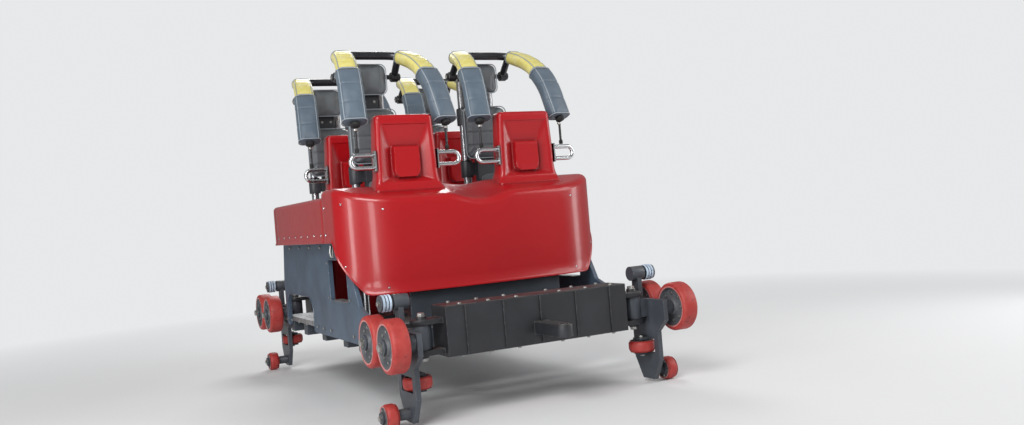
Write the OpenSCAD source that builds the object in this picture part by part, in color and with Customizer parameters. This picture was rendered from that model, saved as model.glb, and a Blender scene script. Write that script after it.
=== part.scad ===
// Lead car of a stand-up roller coaster: two rows of two stalls on a steel chassis with two bogie axles.
// Millimetres. The front faces -Y, +X is the car's own left-hand side seen from the front, +Z is up.
// The origin lies midway between the axles, level with the lowest point of the up-stop wheels.

/* [Car] */
// Distance between the two axles
wheelbase = 2500; // [2400:10:2800]
// Distance from each axle to the tip of its coupling
tip_reach = 350; // [330:5:420]
// Distance from the front axle back to the front face of the body
face_set = 480; // [460:5:540]
// Length of the body along the car
body_len = 1820; // [1800:10:1860]
// Width of the body
body_w = 1560; // [1500:10:1640]
// Distance between the two rows
row_pitch = 955; // [920:5:980]
// Distance between the two stalls of a row
stall_gap = 730; // [700:5:760]

/* [Track] */
// Distance between the rail centres
gauge = 1560; // [1540:10:1640]
// Diameter of the rail tube
rail_d = 150; // [120:5:170]

/* [Heights above the rail] */
// Top of the floor deck
deck_h = 115; // [100:5:130]
// Lowest edge of the front shell
skirt_h = 310; // [300:5:330]
// Lowest edge of the side shells
sill_h = 595; // [560:5:640]
// Top ledge of the side and rear shells
ledge_h = 848; // [830:2:860]
// Front edge of the front shell's sloping top
brow_h = 804; // [790:2:815]
// Top of the front shell behind its slope
cowl_h = 885; // [870:5:900]
// Top of the towers
tower_h = 1258; // [1230:5:1290]

/* [Shells] */
// Wall thickness of the moulded shells
shell_wall = 10; // [6:1:14]
// Flat width of the front face
face_w = 960; // [900:10:1020]
// Depth of the rounded front corners
corner_run = 200; // [170:5:230]
// Forward bulge of the front face at its middle
face_bulge = 24; // [10:1:40]
// Width of the top flange on each side
flange_w = 120; // [90:5:140]
// Depth of the inner wall of each side shell
coaming_drop = 130; // [100:5:180]
// Depth of the dip in the front edge between the towers
dip_depth = 36; // [25:1:38]
// Radius of the dip between the towers
dip_r = 380; // [340:10:400]
// Gap between the shells where they meet
shell_gap = 6; // [3:1:10]

/* [Towers] */
// Width of a tower at its top
tower_w = 350; // [330:5:370]
// Width of a tower at its foot
tower_foot_w = 400; // [385:5:420]
// Depth of a tower from front to back at its top
tower_d = 110; // [95:5:125]
// Depth of a tower at its foot
tower_foot_d = 150; // [140:5:165]
// Distance from the front face back to the towers
tower_set = 120; // [110:5:150]
// Depth of the recess in a tower's face
recess_d = 34; // [24:1:38]
// Width of the recess at the tower's face
recess_w = 306; // [290:2:316]
// Slope of the recess's side walls, across
recess_wall = 66; // [50:2:70]
// Width of the boss in the recess
boss_w = 160; // [140:5:175]
// Height of the boss in the recess
boss_h = 160; // [140:5:170]

/* [Grips] */
// Diameter of the grip tube
grip_d = 24; // [18:1:28]
// Height of the upper grip bar below the tower's top
grip_drop = 212; // [190:5:230]
// Distance between the two bars of a grip
grip_pitch = 68; // [60:2:80]
// Reach of a grip from the tower's middle
grip_reach = 322; // [305:1:330]

/* [Restraints] */
// Diameter of the restraint tube
bar_d = 48; // [40:1:52]
// Distance between the tube centres at the closed end
yoke_w = 350; // [340:5:360]
// Splay of each leg away from the car's long axis
splay = 11; // [10:0.5:11.5]
// Slope of the legs at their lower end
chest_slope = 68; // [66:1:70]
// Length of a leg from its lower end to where its two slopes cross
chest_len = 374; // [366:2:382]
// Slope of the shoulder run
shoulder_slope = 20; // [18:1:22]
// Length of the shoulder run up to where the two slopes cross
shoulder_len = 333; // [325:2:345]
// Radius of the legs' long bend
bend_r = 450; // [430:5:460]
// Width of a chest pad
pad_w = 146; // [130:2:152]
// Thickness of a chest pad
pad_t = 96; // [84:2:104]
// Width of the shoulder sleeve
sleeve_w = 130; // [112:2:136]
// Thickness of the shoulder sleeve
sleeve_t = 86; // [78:2:92]
// Share of the long bend that the chest pad covers
pad_share = 0.46; // [0.4:0.02:0.52]
// Height of the closed end above the tower's top
yoke_rise = 410; // [400:5:430]
// Distance of the closed end behind the tower's face
yoke_set = 500; // [490:5:520]
// Diameter of the hinge shaft
shaft_d = 28; // [22:1:32]
// Distance of the hinge shaft behind the closed end
hinge_back = 100; // [90:5:110]
// Distance of the hinge shaft below the closed end
hinge_drop = 110; // [100:5:120]

/* [Stalls] */
// Diameter of the slide posts
post_d = 50; // [44:2:56]
// Distance between the two slide posts of a stall
post_gap = 190; // [170:5:210]
// Distance of the slide posts behind the hinge shaft
post_back = 62; // [58:1:75]
// Upward travel of a seat carriage
lift = 150; // [120:5:170]
// Width of the back cushion
back_w = 300; // [280:5:310]
// Thickness of the back cushion
back_t = 60; // [50:2:70]
// Height of the saddle's top above the deck
saddle_h = 820; // [790:5:840]

/* [Wheels] */
// Diameter of a road wheel
road_d = 250; // [240:2:256]
// Width of a road wheel
road_w = 88; // [76:2:96]
// Distance between the two road wheels of a bogie
road_pitch = 270; // [266:2:290]
// Diameter of a guide wheel
guide_d = 140; // [130:2:150]
// Width of a guide wheel
guide_w = 58; // [50:2:64]
// Diameter of an up-stop wheel
up_d = 120; // [110:2:130]
// Width of an up-stop wheel
up_w = 60; // [52:2:66]
// Diameter of the road wheels' stub axles
stub_d = 50; // [44:2:56]
// Diameter of the guide and up-stop wheels' pins
pin_d = 30; // [24:2:34]
// Diameter of the kingpins
king_d = 50; // [44:2:56]
// Thickness of the wheel carriers' plates
plate_t = 25; // [20:1:30]

/* [Chassis] */
// Width of an axle beam along the car
beam_w = 180; // [160:5:200]
// Height of an axle beam
beam_h = 240; // [225:5:250]
// Thickness of the side frames
frame_t = 25; // [18:1:30]
// Height of the cross members below the deck
cross_h = 70; // [60:2:80]
// Thickness of the floor deck
deck_t = 30; // [24:2:36]
// Diameter of the bores of both couplings
coupling_bore = 40; // [34:2:46]

/* [Fits] */
// Radial clearance of the bearings and slides
fit = 0.05; // [0.03:0.01:0.08]
// Gap between the wheels and the rail
rail_gap = 3; // [2:1:5]
// Gap between soft pads and what carries them
soft_gap = 0.3; // [0.2:0.1:0.5]

/* [Hidden] */
$fn = 48;
rail_z = up_d + rail_gap + rail_d;
axle_y = wheelbase / 2;
face_y = -axle_y + face_set;
tower_y = face_y + tower_set;
rear_y = face_y + body_len;
deck_z = rail_z + deck_h;
skirt_z = rail_z + skirt_h;
sill_z = rail_z + sill_h;
ledge_z = rail_z + ledge_h;
brow_z = rail_z + brow_h;
cowl_z = rail_z + cowl_h;
tower_z = rail_z + tower_h;
grip_foot = 20;
half_w = body_w / 2;
stall_x = stall_gap / 2;
rail_x = gauge / 2;

// Where the shells meet: the front shell ends behind its corners and the rear shell starts before its own
split_y = face_y + corner_run + 200;
rear_split_y = rear_y - corner_run - 40;
// Foremost point of the front shell, and where its sloping top meets its level part
nose_y = face_y - face_bulge - 1;
slope_run = 220;
slope_y = face_y + slope_run;
brow_slope = atan2(cowl_z - brow_z, slope_y - nose_y);
// Depth of the closed ledge behind the front face and ahead of the rear face
ledge_run = tower_set + tower_foot_d + 20;
rear_ledge = 30;
// Height of the front shell's slope where the towers' faces meet it
seat_z = brow_z + tan(brow_slope) * (tower_y - nose_y);
// Side frames end clear of the wheels, which swing with their carriers
swing_room = 40;
frame_end = axle_y - road_pitch / 2 - road_d / 2 - swing_room;
frame_in = 700;
frame_lo = rail_z + 60;
// Openings in the side frames: a step hole and a long arch
step_y = [-550, -200];
step_z = [-325, -95];
arch_y = [215, 890];
arch_r = 110;
arch_z = -325;
// Beams
beam_lo = rail_z + 30;
beam_set = 280;
beam_x = rail_x - beam_set;
cross_lo = deck_z - deck_t - cross_h;
rung_w = 80;
spar_in = 300;
nose_h = 120;
plate_y = face_y + 30;
plate_x = 450;
// Carriers: kingpin, plate and the pieces fixed to it
king_set = 190;
king_x = rail_x - king_set;
king_lo = beam_lo + 40;
king_hi = king_lo + 120;
lug_t = 25;
king_end = 14;
lug_gap = 1;
boss_r = king_d / 2 + 20;
plate_out = rail_x - rail_d / 2 - 20;
plate_in = plate_out - plate_t;
road_z = rail_z + road_d / 2;
guide_x = rail_x - rail_d / 2 - rail_gap - guide_d / 2;
guide_z = rail_z - rail_d / 2;
up_z = up_d / 2;
side_gap = 2;
cap_t = 12;
drum_d = 76;
drum_z = road_z + 178;
// Stalls, measured from the middle of a tower's face at its top
hinge_dy = yoke_set + hinge_back;
hinge_dz = yoke_rise - hinge_drop;
post_dy = hinge_dy + post_back;
spine_w = 110;
spine_t = 44;
spine_front = hinge_dy - spine_t / 2;
sleeve_r = post_d / 2 + 13;
sleeve_h = 100;
sleeve_lo = -330;
sleeve_hi = 0;
saddle_dz = deck_z + saddle_h - tower_z;
post_top = tower_z + sleeve_hi + sleeve_h + lift + 25;

// Columns: name, side (+1 is +X), end (-1 is the front)
CORNERS = [["fl", 1, -1], ["fr", -1, -1], ["rl", 1, 1], ["rr", -1, 1]];

// Puts what is drawn for the +X side at a corner of the chassis
module at_corner(side, end) {
    translate([0, end * axle_y, 0])
        if (side > 0) children();
        else mirror([1, 0, 0]) children();
}

// Puts what is drawn around a stall's reference point in its place
module at_stall(side, end) {
    translate([side * stall_x, tower_y + (end > 0 ? row_pitch : 0), tower_z]) children();
}

// Draws its children on both sides
module both_sides() {
    children();
    mirror([1, 0, 0]) children();
}

// Extrudes an outline given in Y and Z along X, from x0 to x1
module along_x(x0, x1) {
    translate([x0, 0, 0]) rotate([90, 0, 90]) linear_extrude(x1 - x0) children();
}

// A block between two corners
module block(lo, hi) {
    translate(lo) cube(hi - lo);
}

// A block centred on x and y, from z0 to z1
module post_block(x, y, w, d, z0, z1) {
    block([x - w / 2, y - d / 2, z0], [x + w / 2, y + d / 2, z1]);
}

// A cylinder along X
module x_rod(x0, x1, y, z, d) {
    translate([x0, y, z]) rotate([0, 90, 0]) cylinder(d = d, h = x1 - x0);
}

// A rectangle with true round corners
module round_rect(w, h, r) {
    square([w - 2 * r, h], center = true);
    square([w, h - 2 * r], center = true);
    for (x = [-1, 1], y = [-1, 1]) translate([x * (w / 2 - r), y * (h / 2 - r)]) circle(r);
}

// A cushion block with round corners, standing up, seen square from the front
module cushion(w, h, t, r) {
    rotate([90, 0, 0]) linear_extrude(t) round_rect(w, h, r);
}

// CHASSIS

// The side frames' top edge stops short of their rear end
frame_notch = 60;
// Where the front shell's lower edge starts to rise and where it reaches the side shells' level
lift_run = 70;
level_run = 240;
lift_y = face_y + lift_run;
level_y = face_y + level_run;

module side_frame_outline() {
    rise = 250;
    difference() {
        polygon([[-frame_end, frame_lo], [frame_end, frame_lo], [frame_end, sill_z - rise],
                 [frame_end - frame_notch, sill_z], [level_y + 10, sill_z],
                 [lift_y - 20, frame_lo + 200], [-frame_end, frame_lo + 120]]);
        translate([step_y[0], sill_z + step_z[0]])
            square([step_y[1] - step_y[0], step_z[1] - step_z[0]]);
        translate([arch_y[0], frame_lo - 1])
            square([arch_y[1] - arch_y[0], sill_z + arch_z - arch_r - frame_lo + 1]);
        translate([arch_y[0] + arch_r, frame_lo - 1])
            square([arch_y[1] - arch_y[0] - 2 * arch_r, sill_z + arch_z - frame_lo + 1]);
        for (y = [arch_y[0] + arch_r, arch_y[1] - arch_r])
            translate([y, sill_z + arch_z - arch_r]) circle(arch_r);
    }
}

module side_frames() {
    color([0.07, 0.08, 0.10]) both_sides() along_x(frame_in, frame_in + frame_t) side_frame_outline();
}

module ladder_frame() {
    rungs = [-620, -330, 120, 560];
    color([0.09, 0.10, 0.12]) {
        for (end = [-1, 1]) {
            y = end * (frame_end - rung_w / 2);
            tip = end * (axle_y - beam_w / 2);
            post_block(0, y, 2 * frame_in, rung_w, cross_lo, cross_lo + cross_h);
            both_sides()
                block([spar_in, min(y, tip), beam_lo], [spar_in + rung_w, max(y, tip), cross_lo + cross_h]);
        }
        post_block(0, -frame_end + rung_w / 2, 2 * frame_in, rung_w, cross_lo, cross_lo + nose_h);
        block([-plate_x, plate_y, cross_lo], [plate_x, plate_y + 12, skirt_z + 60]);
        for (y = rungs) post_block(0, y, 2 * frame_in, rung_w, cross_lo, cross_lo + cross_h);
        both_sides()
            block([spar_in, -frame_end + 1, cross_lo], [spar_in + rung_w, frame_end - 1, cross_lo + cross_h]);
    }
}

// Beam, kingpin forks and tow eye of one axle, drawn for the front
module axle() {
    eye_y = -tip_reach + coupling_bore;
    eye_r = coupling_bore;
    eye_lo = beam_lo + 50;
    difference() {
        union() {
            post_block(0, 0, 2 * beam_x, beam_w, beam_lo, beam_lo + beam_h);
            post_block(0, (eye_y - beam_w / 2) / 2, 80, abs(eye_y) - beam_w / 2, eye_lo, eye_lo + 60);
            translate([0, eye_y, eye_lo]) cylinder(r = eye_r, h = 60);
            both_sides() {
                for (z = [king_lo - lug_t, king_hi]) {
                    block([beam_x, -55, z], [king_x, 55, z + lug_t]);
                    translate([king_x, 0, z]) cylinder(r = 55, h = lug_t);
                }
                translate([king_x, 0, king_lo - lug_t - king_end])
                    cylinder(d = king_d, h = king_hi - king_lo + 2 * (lug_t + king_end));
            }
        }
        translate([0, eye_y, eye_lo - 1]) cylinder(d = coupling_bore, h = 62);
    }
}

module front_axle() {
    color([0.10, 0.11, 0.13]) translate([0, -axle_y, 0]) axle();
}

module rear_axle() {
    color([0.10, 0.11, 0.13]) translate([0, axle_y, 0]) mirror([0, 1, 0]) axle();
}

module floor_deck() {
    color([0.45, 0.46, 0.48])
        block([-frame_in, face_y + ledge_run, deck_z - deck_t],
              [frame_in, rear_y - rear_ledge, deck_z]);
}

// BOGIES

module carrier_outline() {
    top_w = road_pitch / 2 + 48;
    waist_w = guide_d / 2 + 42;
    polygon([[-top_w, road_z + 46], [top_w, road_z + 46], [top_w, road_z - 60], [waist_w, guide_z + 80],
             [waist_w, guide_z - 66], [50, up_z - 40], [-50, up_z - 40], [-waist_w, guide_z - 66],
             [-waist_w, guide_z + 80], [-top_w, road_z - 60]]);
}

// A pin along X with a collar inside the wheel and a cap outside it
module stub(y, z, d, w) {
    inner = rail_x - w / 2;
    outer = rail_x + w / 2;
    x_rod(plate_out - 1, inner - side_gap, y, z, d + 24);
    x_rod(plate_out - 1, outer + side_gap + cap_t, y, z, d);
    x_rod(outer + side_gap, outer + side_gap + cap_t, y, z, d + 26);
}

module carrier(side, end) {
    window_h = guide_w / 2 + 8;
    window_w = guide_d / 2 + 4;
    lug_z = guide_w / 2 + side_gap;
    color([0.12, 0.13, 0.15]) at_corner(side, end) difference() {
        union() {
            difference() {
                along_x(plate_in, plate_out) carrier_outline();
                block([plate_in - 1, -window_w, guide_z - window_h],
                      [plate_out + 1, window_w, guide_z + window_h]);
            }
            translate([king_x, 0, king_lo + lug_gap])
                cylinder(r = boss_r, h = king_hi - king_lo - 2 * lug_gap);
            block([king_x, -30, king_lo + 8], [plate_in + 1, 30, king_hi - 16]);
            for (y = [-1, 1]) stub(y * road_pitch / 2, road_z, stub_d, road_w);
            stub(0, up_z, pin_d, up_w);
            for (z = [guide_z - lug_z - cap_t, guide_z + lug_z])
                block([guide_x - pin_d, -35, z], [plate_in + 1, 35, z + cap_t]);
            translate([guide_x, 0, guide_z - lug_z - cap_t]) cylinder(d = pin_d, h = 2 * (lug_z + cap_t));
            block([plate_in, 30, road_z + 40], [plate_out, 90, drum_z]);
            x_rod(plate_in - 30, plate_out + 20, 60, drum_z, drum_d);
            x_rod(plate_out + 20, plate_out + 34, 60, drum_z, drum_d - 26);
            x_rod(plate_out + 34, plate_out + 84, 60, drum_z, drum_d);
        }
        translate([king_x, 0, king_lo]) cylinder(r = king_d / 2 + fit, h = king_hi - king_lo);
    }
}

// A wheel turning on a pin: hub dished on both faces, tyre with chamfered shoulders
module wheel_profile(d, w, pin, rim_r, dish) {
    r = d / 2;
    hub_r = pin / 2 + 16;
    rotate_extrude() polygon([
        [pin / 2 + fit, -w / 2], [hub_r, -w / 2], [hub_r + 6, -w / 2 + dish], [rim_r - 6, -w / 2 + dish],
        [rim_r, -w / 2], [r - 6, -w / 2], [r, -w / 2 + 6], [r, w / 2 - 6], [r - 6, w / 2],
        [rim_r, w / 2], [rim_r - 6, w / 2 - dish], [hub_r + 6, w / 2 - dish], [hub_r, w / 2],
        [pin / 2 + fit, w / 2]]);
}

module road_wheel(side, end, along) {
    color([0.62, 0.16, 0.14]) at_corner(side, end)
        translate([rail_x, along * road_pitch / 2, road_z]) rotate([0, 90, 0])
            wheel_profile(road_d, road_w, stub_d, road_d / 2 - 26, 16);
}

module up_wheel(side, end) {
    color([0.62, 0.16, 0.14]) at_corner(side, end)
        translate([rail_x, 0, up_z]) rotate([0, 90, 0])
            wheel_profile(up_d, up_w, pin_d, up_d / 2 - 12, 8);
}

module guide_wheel(side, end) {
    color([0.62, 0.16, 0.14]) at_corner(side, end)
        translate([guide_x, 0, guide_z]) wheel_profile(guide_d, guide_w, pin_d, guide_d / 2 - 14, 8);
}

// BODY

// Plan of the body from its front face back to y1, drawn in by the inset: a gently bulged face
// with a flattened quarter curve at each corner
corner_power = 4 / 3;
function face_curve(inset) = [for (k = [0:8]) let (x = (face_w / 2) * (k / 4 - 1))
    [x, face_y + inset - face_bulge * (1 - pow(k / 4 - 1, 2))]];
function corner_curve(inset) = [for (k = [1:8]) let (a = k * 90 / 8)
    [face_w / 2 + (half_w - inset - face_w / 2) * pow(sin(a), corner_power),
     face_y + inset + (corner_run - inset) * (1 - pow(cos(a), corner_power))]];
function flipped(points) = [for (k = [len(points) - 1:-1:0]) [-points[k][0], points[k][1]]];
function body_plan(inset, y1) = concat([[-(half_w - inset), y1]], flipped(corner_curve(inset)),
    face_curve(inset), corner_curve(inset), [[half_w - inset, y1]]);

// A moulded cover between two plans: its wall follows the outer one. Its side outline cuts both, and
// the inner one is lower at the top by the wall.
module cover(z0, y1) {
    difference() {
        intersection() {
            translate([0, 0, z0]) linear_extrude(cowl_z - z0) polygon(body_plan(0, y1));
            children(0);
        }
        intersection() {
            translate([0, 0, z0 - 1]) linear_extrude(cowl_z - z0 + 1) polygon(body_plan(shell_wall, y1 + 1));
            children(1);
        }
    }
}

// Cuts the bay out of a ledge between two stations
module bay_cut(y0, y1, top) {
    bay = half_w - flange_w;
    block([-bay, y0, top - shell_wall - 1], [bay, y1, top + 1]);
}

// Inner wall below the edge of the bay, and the foot that seats the shell on the side frames
module coaming(y0, y1, foot_y0, foot_y1, top) {
    x = half_w - flange_w;
    both_sides() {
        block([x, y0, ledge_z - coaming_drop], [x + shell_wall, y1, top - shell_wall / 2]);
        block([frame_in, foot_y0, sill_z], [half_w - shell_wall / 2, foot_y1, sill_z + shell_wall]);
    }
}

// A round trough along the slope of the front shell, between two distances from its nose
module dip(r, from, to) {
    translate([0, nose_y, brow_z]) rotate([brow_slope, 0, 0]) translate([0, from, dip_r - dip_depth])
        rotate([-90, 0, 0]) cylinder(r = r, h = to - from, $fn = 96);
}

// Side outline of the front shell, its top and its front drawn in by the inset
module front_outline(inset) {
    low = inset > 0 ? 1 : 0;
    polygon([[nose_y, skirt_z - low], [lift_y + 2 * low, skirt_z - low], [level_y + 2 * low, sill_z - low],
             [split_y + low, sill_z - low], [split_y + low, cowl_z - inset], [slope_y, cowl_z - inset],
             [nose_y, brow_z - inset]]);
}

module front_shell() {
    bay_y = face_y + ledge_run;
    reach = bay_y - nose_y + dip_r;
    rise = tan(brow_slope);
    under = dip_depth + 3 * shell_wall;
    dip_w = sqrt(2 * dip_r * dip_depth) + 2 * shell_wall;
    wall_y = nose_y + shell_wall / 2;
    color([0.62, 0.05, 0.06]) {
        difference() {
            cover(skirt_z, split_y) {
                along_x(-half_w, half_w) front_outline(0);
                along_x(-half_w, half_w) front_outline(shell_wall);
            }
            bay_cut(bay_y, split_y + 1, cowl_z);
            dip(dip_r, -dip_r, reach);
        }
        coaming(bay_y, split_y, level_y + 10, split_y, cowl_z);
        intersection() {
            difference() {
                dip(dip_r + shell_wall, 0, reach);
                dip(dip_r, -1, reach + 1);
            }
            along_x(-dip_w, dip_w)
                polygon([[wall_y, brow_z - under], [bay_y, brow_z - under + rise * (bay_y - wall_y)],
                         [bay_y, cowl_z - shell_wall / 4], [slope_y, cowl_z - shell_wall / 4],
                         [wall_y, brow_z - shell_wall / 4]]);
        }
    }
}

module side_shells() {
    y0 = split_y + shell_gap;
    y1 = rear_split_y - shell_gap;
    color([0.58, 0.05, 0.06]) {
        both_sides() {
            block([half_w - shell_wall, y0, sill_z], [half_w, y1, ledge_z]);
            block([half_w - flange_w, y0, ledge_z - shell_wall], [half_w, y1, ledge_z]);
        }
        coaming(y0, y1, y0, y1, ledge_z);
    }
}

module rear_shell() {
    shift = face_y + rear_y;
    kick = 110;
    color([0.58, 0.05, 0.06]) {
        difference() {
            intersection() {
                translate([0, shift, 0]) mirror([0, 1, 0]) cover(sill_z, shift - rear_split_y) {
                    block([-half_w, face_y - face_bulge - 1, sill_z], [half_w, shift - rear_split_y, ledge_z]);
                    block([-half_w, face_y - face_bulge - 1, sill_z - 1],
                          [half_w, shift - rear_split_y + 1, ledge_z - shell_wall]);
                }
                along_x(-half_w, half_w) polygon([[rear_split_y, sill_z], [rear_y - corner_run, sill_z],
                    [rear_y + face_bulge + 1, sill_z + kick], [rear_y + face_bulge + 1, ledge_z],
                    [rear_split_y, ledge_z]]);
            }
            bay_cut(rear_split_y - 1, rear_y - rear_ledge, ledge_z);
        }
        coaming(rear_split_y, rear_y - rear_ledge, rear_split_y, frame_end - frame_notch, ledge_z);
    }
}

module mid_bulkhead() {
    y = tower_y + row_pitch + tower_foot_d;
    x = half_w - flange_w;
    color([0.55, 0.05, 0.06]) block([-x, y, deck_z], [x, y + shell_wall, ledge_z - coaming_drop - 1]);
}

// TOWERS

// A tower standing on a base line given in Y and Z: upright sides that flare at the foot, and a face
// with a recess and a boss
module tower(base) {
    foot = seat_z - tower_z;
    low = base[0][1];
    neck = -grip_drop - grip_pitch - grip_foot - 6;
    pocket_lo = foot + 40;
    pocket_hi = -52;
    slope = 118;
    boss_top = pocket_hi - slope;
    boss_lo = boss_top - boss_h;
    face = 6;
    half = recess_w / 2;
    intersection() {
        rotate([90, 0, 0]) translate([0, 0, -tower_foot_d - 1]) linear_extrude(tower_foot_d + 2)
            polygon([[-tower_foot_w / 2, low], [tower_foot_w / 2, low], [tower_foot_w / 2, foot],
                     [tower_w / 2, neck], [tower_w / 2, -14], [tower_w / 2 - 14, 0],
                     [-tower_w / 2 + 14, 0], [-tower_w / 2, -14], [-tower_w / 2, neck],
                     [-tower_foot_w / 2, foot]]);
        difference() {
            along_x(-tower_foot_w / 2 - 1, tower_foot_w / 2 + 1)
                polygon(concat(base, [[tower_foot_d, seat_z - tower_z + 34], [tower_d, neck],
                    [tower_d, -16], [tower_d - 16, 0], [20, 0], [face, -14], [face, neck]],
                    low < foot ? [[0, foot]] : []));
            difference() {
                intersection() {
                    along_x(-half, half)
                        polygon([[-1, pocket_hi], [face, pocket_hi], [face + recess_d, boss_top],
                                 [face + recess_d, pocket_lo + 30], [face, pocket_lo], [-1, pocket_lo]]);
                    translate([0, 0, pocket_lo - 1]) linear_extrude(pocket_hi - pocket_lo + 2)
                        polygon([[-half, -1], [half, -1], [half, face], [half - recess_wall, face + recess_d],
                                 [-half + recess_wall, face + recess_d], [-half, face]]);
                }
                along_x(-boss_w / 2, boss_w / 2)
                    polygon([[face + recess_d + 1, boss_lo], [face + 8, boss_lo + 16], [face + 6, boss_top - 14],
                             [face + 14, boss_top], [face + recess_d + 1, boss_top]]);
            }
        }
    }
}

module front_towers() {
    color([0.64, 0.05, 0.06]) for (side = [-1, 1]) at_stall(side, -1)
        tower([[0, seat_z - tower_z], [slope_y - tower_y, cowl_z - tower_z], [tower_foot_d, cowl_z - tower_z]]);
}

module rear_towers() {
    color([0.64, 0.05, 0.06]) for (side = [-1, 1]) at_stall(side, 1)
        tower([[0, deck_z - tower_z], [tower_foot_d, deck_z - tower_z]]);
}

// One D-shaped grip on the +X side of a tower: two bars joined by a round end, on a flange
module grip() {
    bend = grip_pitch / 2;
    straight = grip_reach - bend - grip_d / 2;
    flange = 8;
    translate([0, tower_d / 4, -grip_drop - bend]) {
        for (z = [-bend, bend]) x_rod(tower_w / 2 + flange / 2, straight, 0, z, grip_d);
        translate([straight, 0, 0]) rotate([90, 0, 0]) rotate([0, 0, -90])
            rotate_extrude(angle = 180) translate([bend, 0]) circle(d = grip_d);
        block([tower_w / 2, -22, -bend - grip_foot], [tower_w / 2 + flange, 22, bend + grip_foot]);
    }
}

module grips(end) {
    color([0.75, 0.76, 0.78]) for (side = [-1, 1]) at_stall(side, end) both_sides() grip();
}

module front_grips() { grips(-1); }

module rear_grips() { grips(1); }

// STALLS

// Two posts on a foot plate, tied at the top
module slide_frame() {
    foot = deck_z - tower_z;
    top = post_top - tower_z;
    for (x = [-1, 1]) translate([x * post_gap / 2, post_dy, foot]) cylinder(d = post_d, h = top - foot);
    post_block(0, post_dy, post_gap + post_d + 50, post_d + 40, foot, foot + 16);
    post_block(0, post_dy, post_gap + post_d, post_d, top, top + 24);
}

module slide_posts() {
    color([0.20, 0.21, 0.23]) for (c = CORNERS) at_stall(c[1], c[2]) slide_frame();
}

// Sliding back: spine, four sleeves on the posts, hinge shaft and the saddle's arm
module carriage(side, end) {
    cheek = 24;
    reach = yoke_w / 2 + cheek + side_gap;
    foot = saddle_dz - 90;
    saddle_arm = 200;
    color([0.13, 0.14, 0.16]) at_stall(side, end) difference() {
        union() {
            block([-spine_w / 2, spine_front, foot], [spine_w / 2, spine_front + spine_t, hinge_dz + 18]);
            x_rod(-reach, reach, hinge_dy, hinge_dz, shaft_d);
            both_sides() x_rod(reach, reach + 8, hinge_dy, hinge_dz, shaft_d + 16);
            for (z = [sleeve_lo, sleeve_hi]) {
                for (x = [-1, 1]) translate([x * post_gap / 2, post_dy, z]) cylinder(r = sleeve_r, h = sleeve_h);
                block([-post_gap / 2, spine_front + spine_t - 1, z + 10],
                      [post_gap / 2, post_dy + 6, z + sleeve_h - 10]);
            }
            block([-40, spine_front - saddle_arm, saddle_dz - 82], [40, spine_front + 1, saddle_dz - 60]);
        }
        for (x = [-1, 1]) translate([x * post_gap / 2, post_dy, sleeve_lo - 1])
            cylinder(r = post_d / 2 + fit, h = sleeve_hi - sleeve_lo + sleeve_h + 2);
    }
}

// Back cushion, headrest and saddle, each a block of its own in front of the spine
module cushions(side, end) {
    back_h = 330;
    head_w = 220;
    head_h = 190;
    head_t = 52;
    saddle_l = 220;
    color([0.16, 0.18, 0.21]) at_stall(side, end) {
        translate([0, spine_front - soft_gap, -60]) cushion(back_w, back_h, back_t, 40);
        translate([0, spine_front - soft_gap, yoke_rise - bar_d / 2 - 14 - head_h / 2])
            cushion(head_w, head_h, head_t, 40);
        translate([0, spine_front - soft_gap - 20 - saddle_l / 2, saddle_dz - 60 + soft_gap])
            linear_extrude(60) round_rect(170, saddle_l, 60);
    }
}

// RESTRAINTS

// Shoulder bend of a leg, in the leg's own plane: how far forward and how high its points lie
bend_turn = chest_slope - shoulder_slope;
bend_trim = bend_r * tan(bend_turn / 2);
function leg_dir(slope) = [cos(slope), -sin(slope)];
bend_d = bar_d + 4;
leg_knee = shoulder_len * leg_dir(shoulder_slope);
leg_end = leg_knee + chest_len * leg_dir(chest_slope);
bend_start = leg_knee - bend_trim * leg_dir(shoulder_slope);
bend_stop = leg_knee + bend_trim * leg_dir(chest_slope);
bend_mid = bend_start + bend_r * [-sin(shoulder_slope), -cos(shoulder_slope)];

// Puts what is drawn in a leg's plane in its place
module in_leg(side) {
    translate([side * yoke_w / 2, yoke_set, yoke_rise]) rotate([0, 0, side * splay]) children();
}

// Lays what is drawn along +Z from one point of a leg's plane towards another
module leg_line(p, q) {
    translate([0, -p[0], p[1]]) rotate([atan2(q[0] - p[0], q[1] - p[1]), 0, 0]) children();
}

// Sweeps a profile around the long bend, or around its share from one fraction to another, from below
module leg_bend(from = 0, to = 1) {
    translate([0, -bend_mid[0], bend_mid[1]]) rotate([90, 0, -90])
        rotate([0, 0, 90 - chest_slope + bend_turn * from])
            rotate_extrude(angle = bend_turn * (to - from)) translate([bend_r, 0]) children();
}

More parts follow.
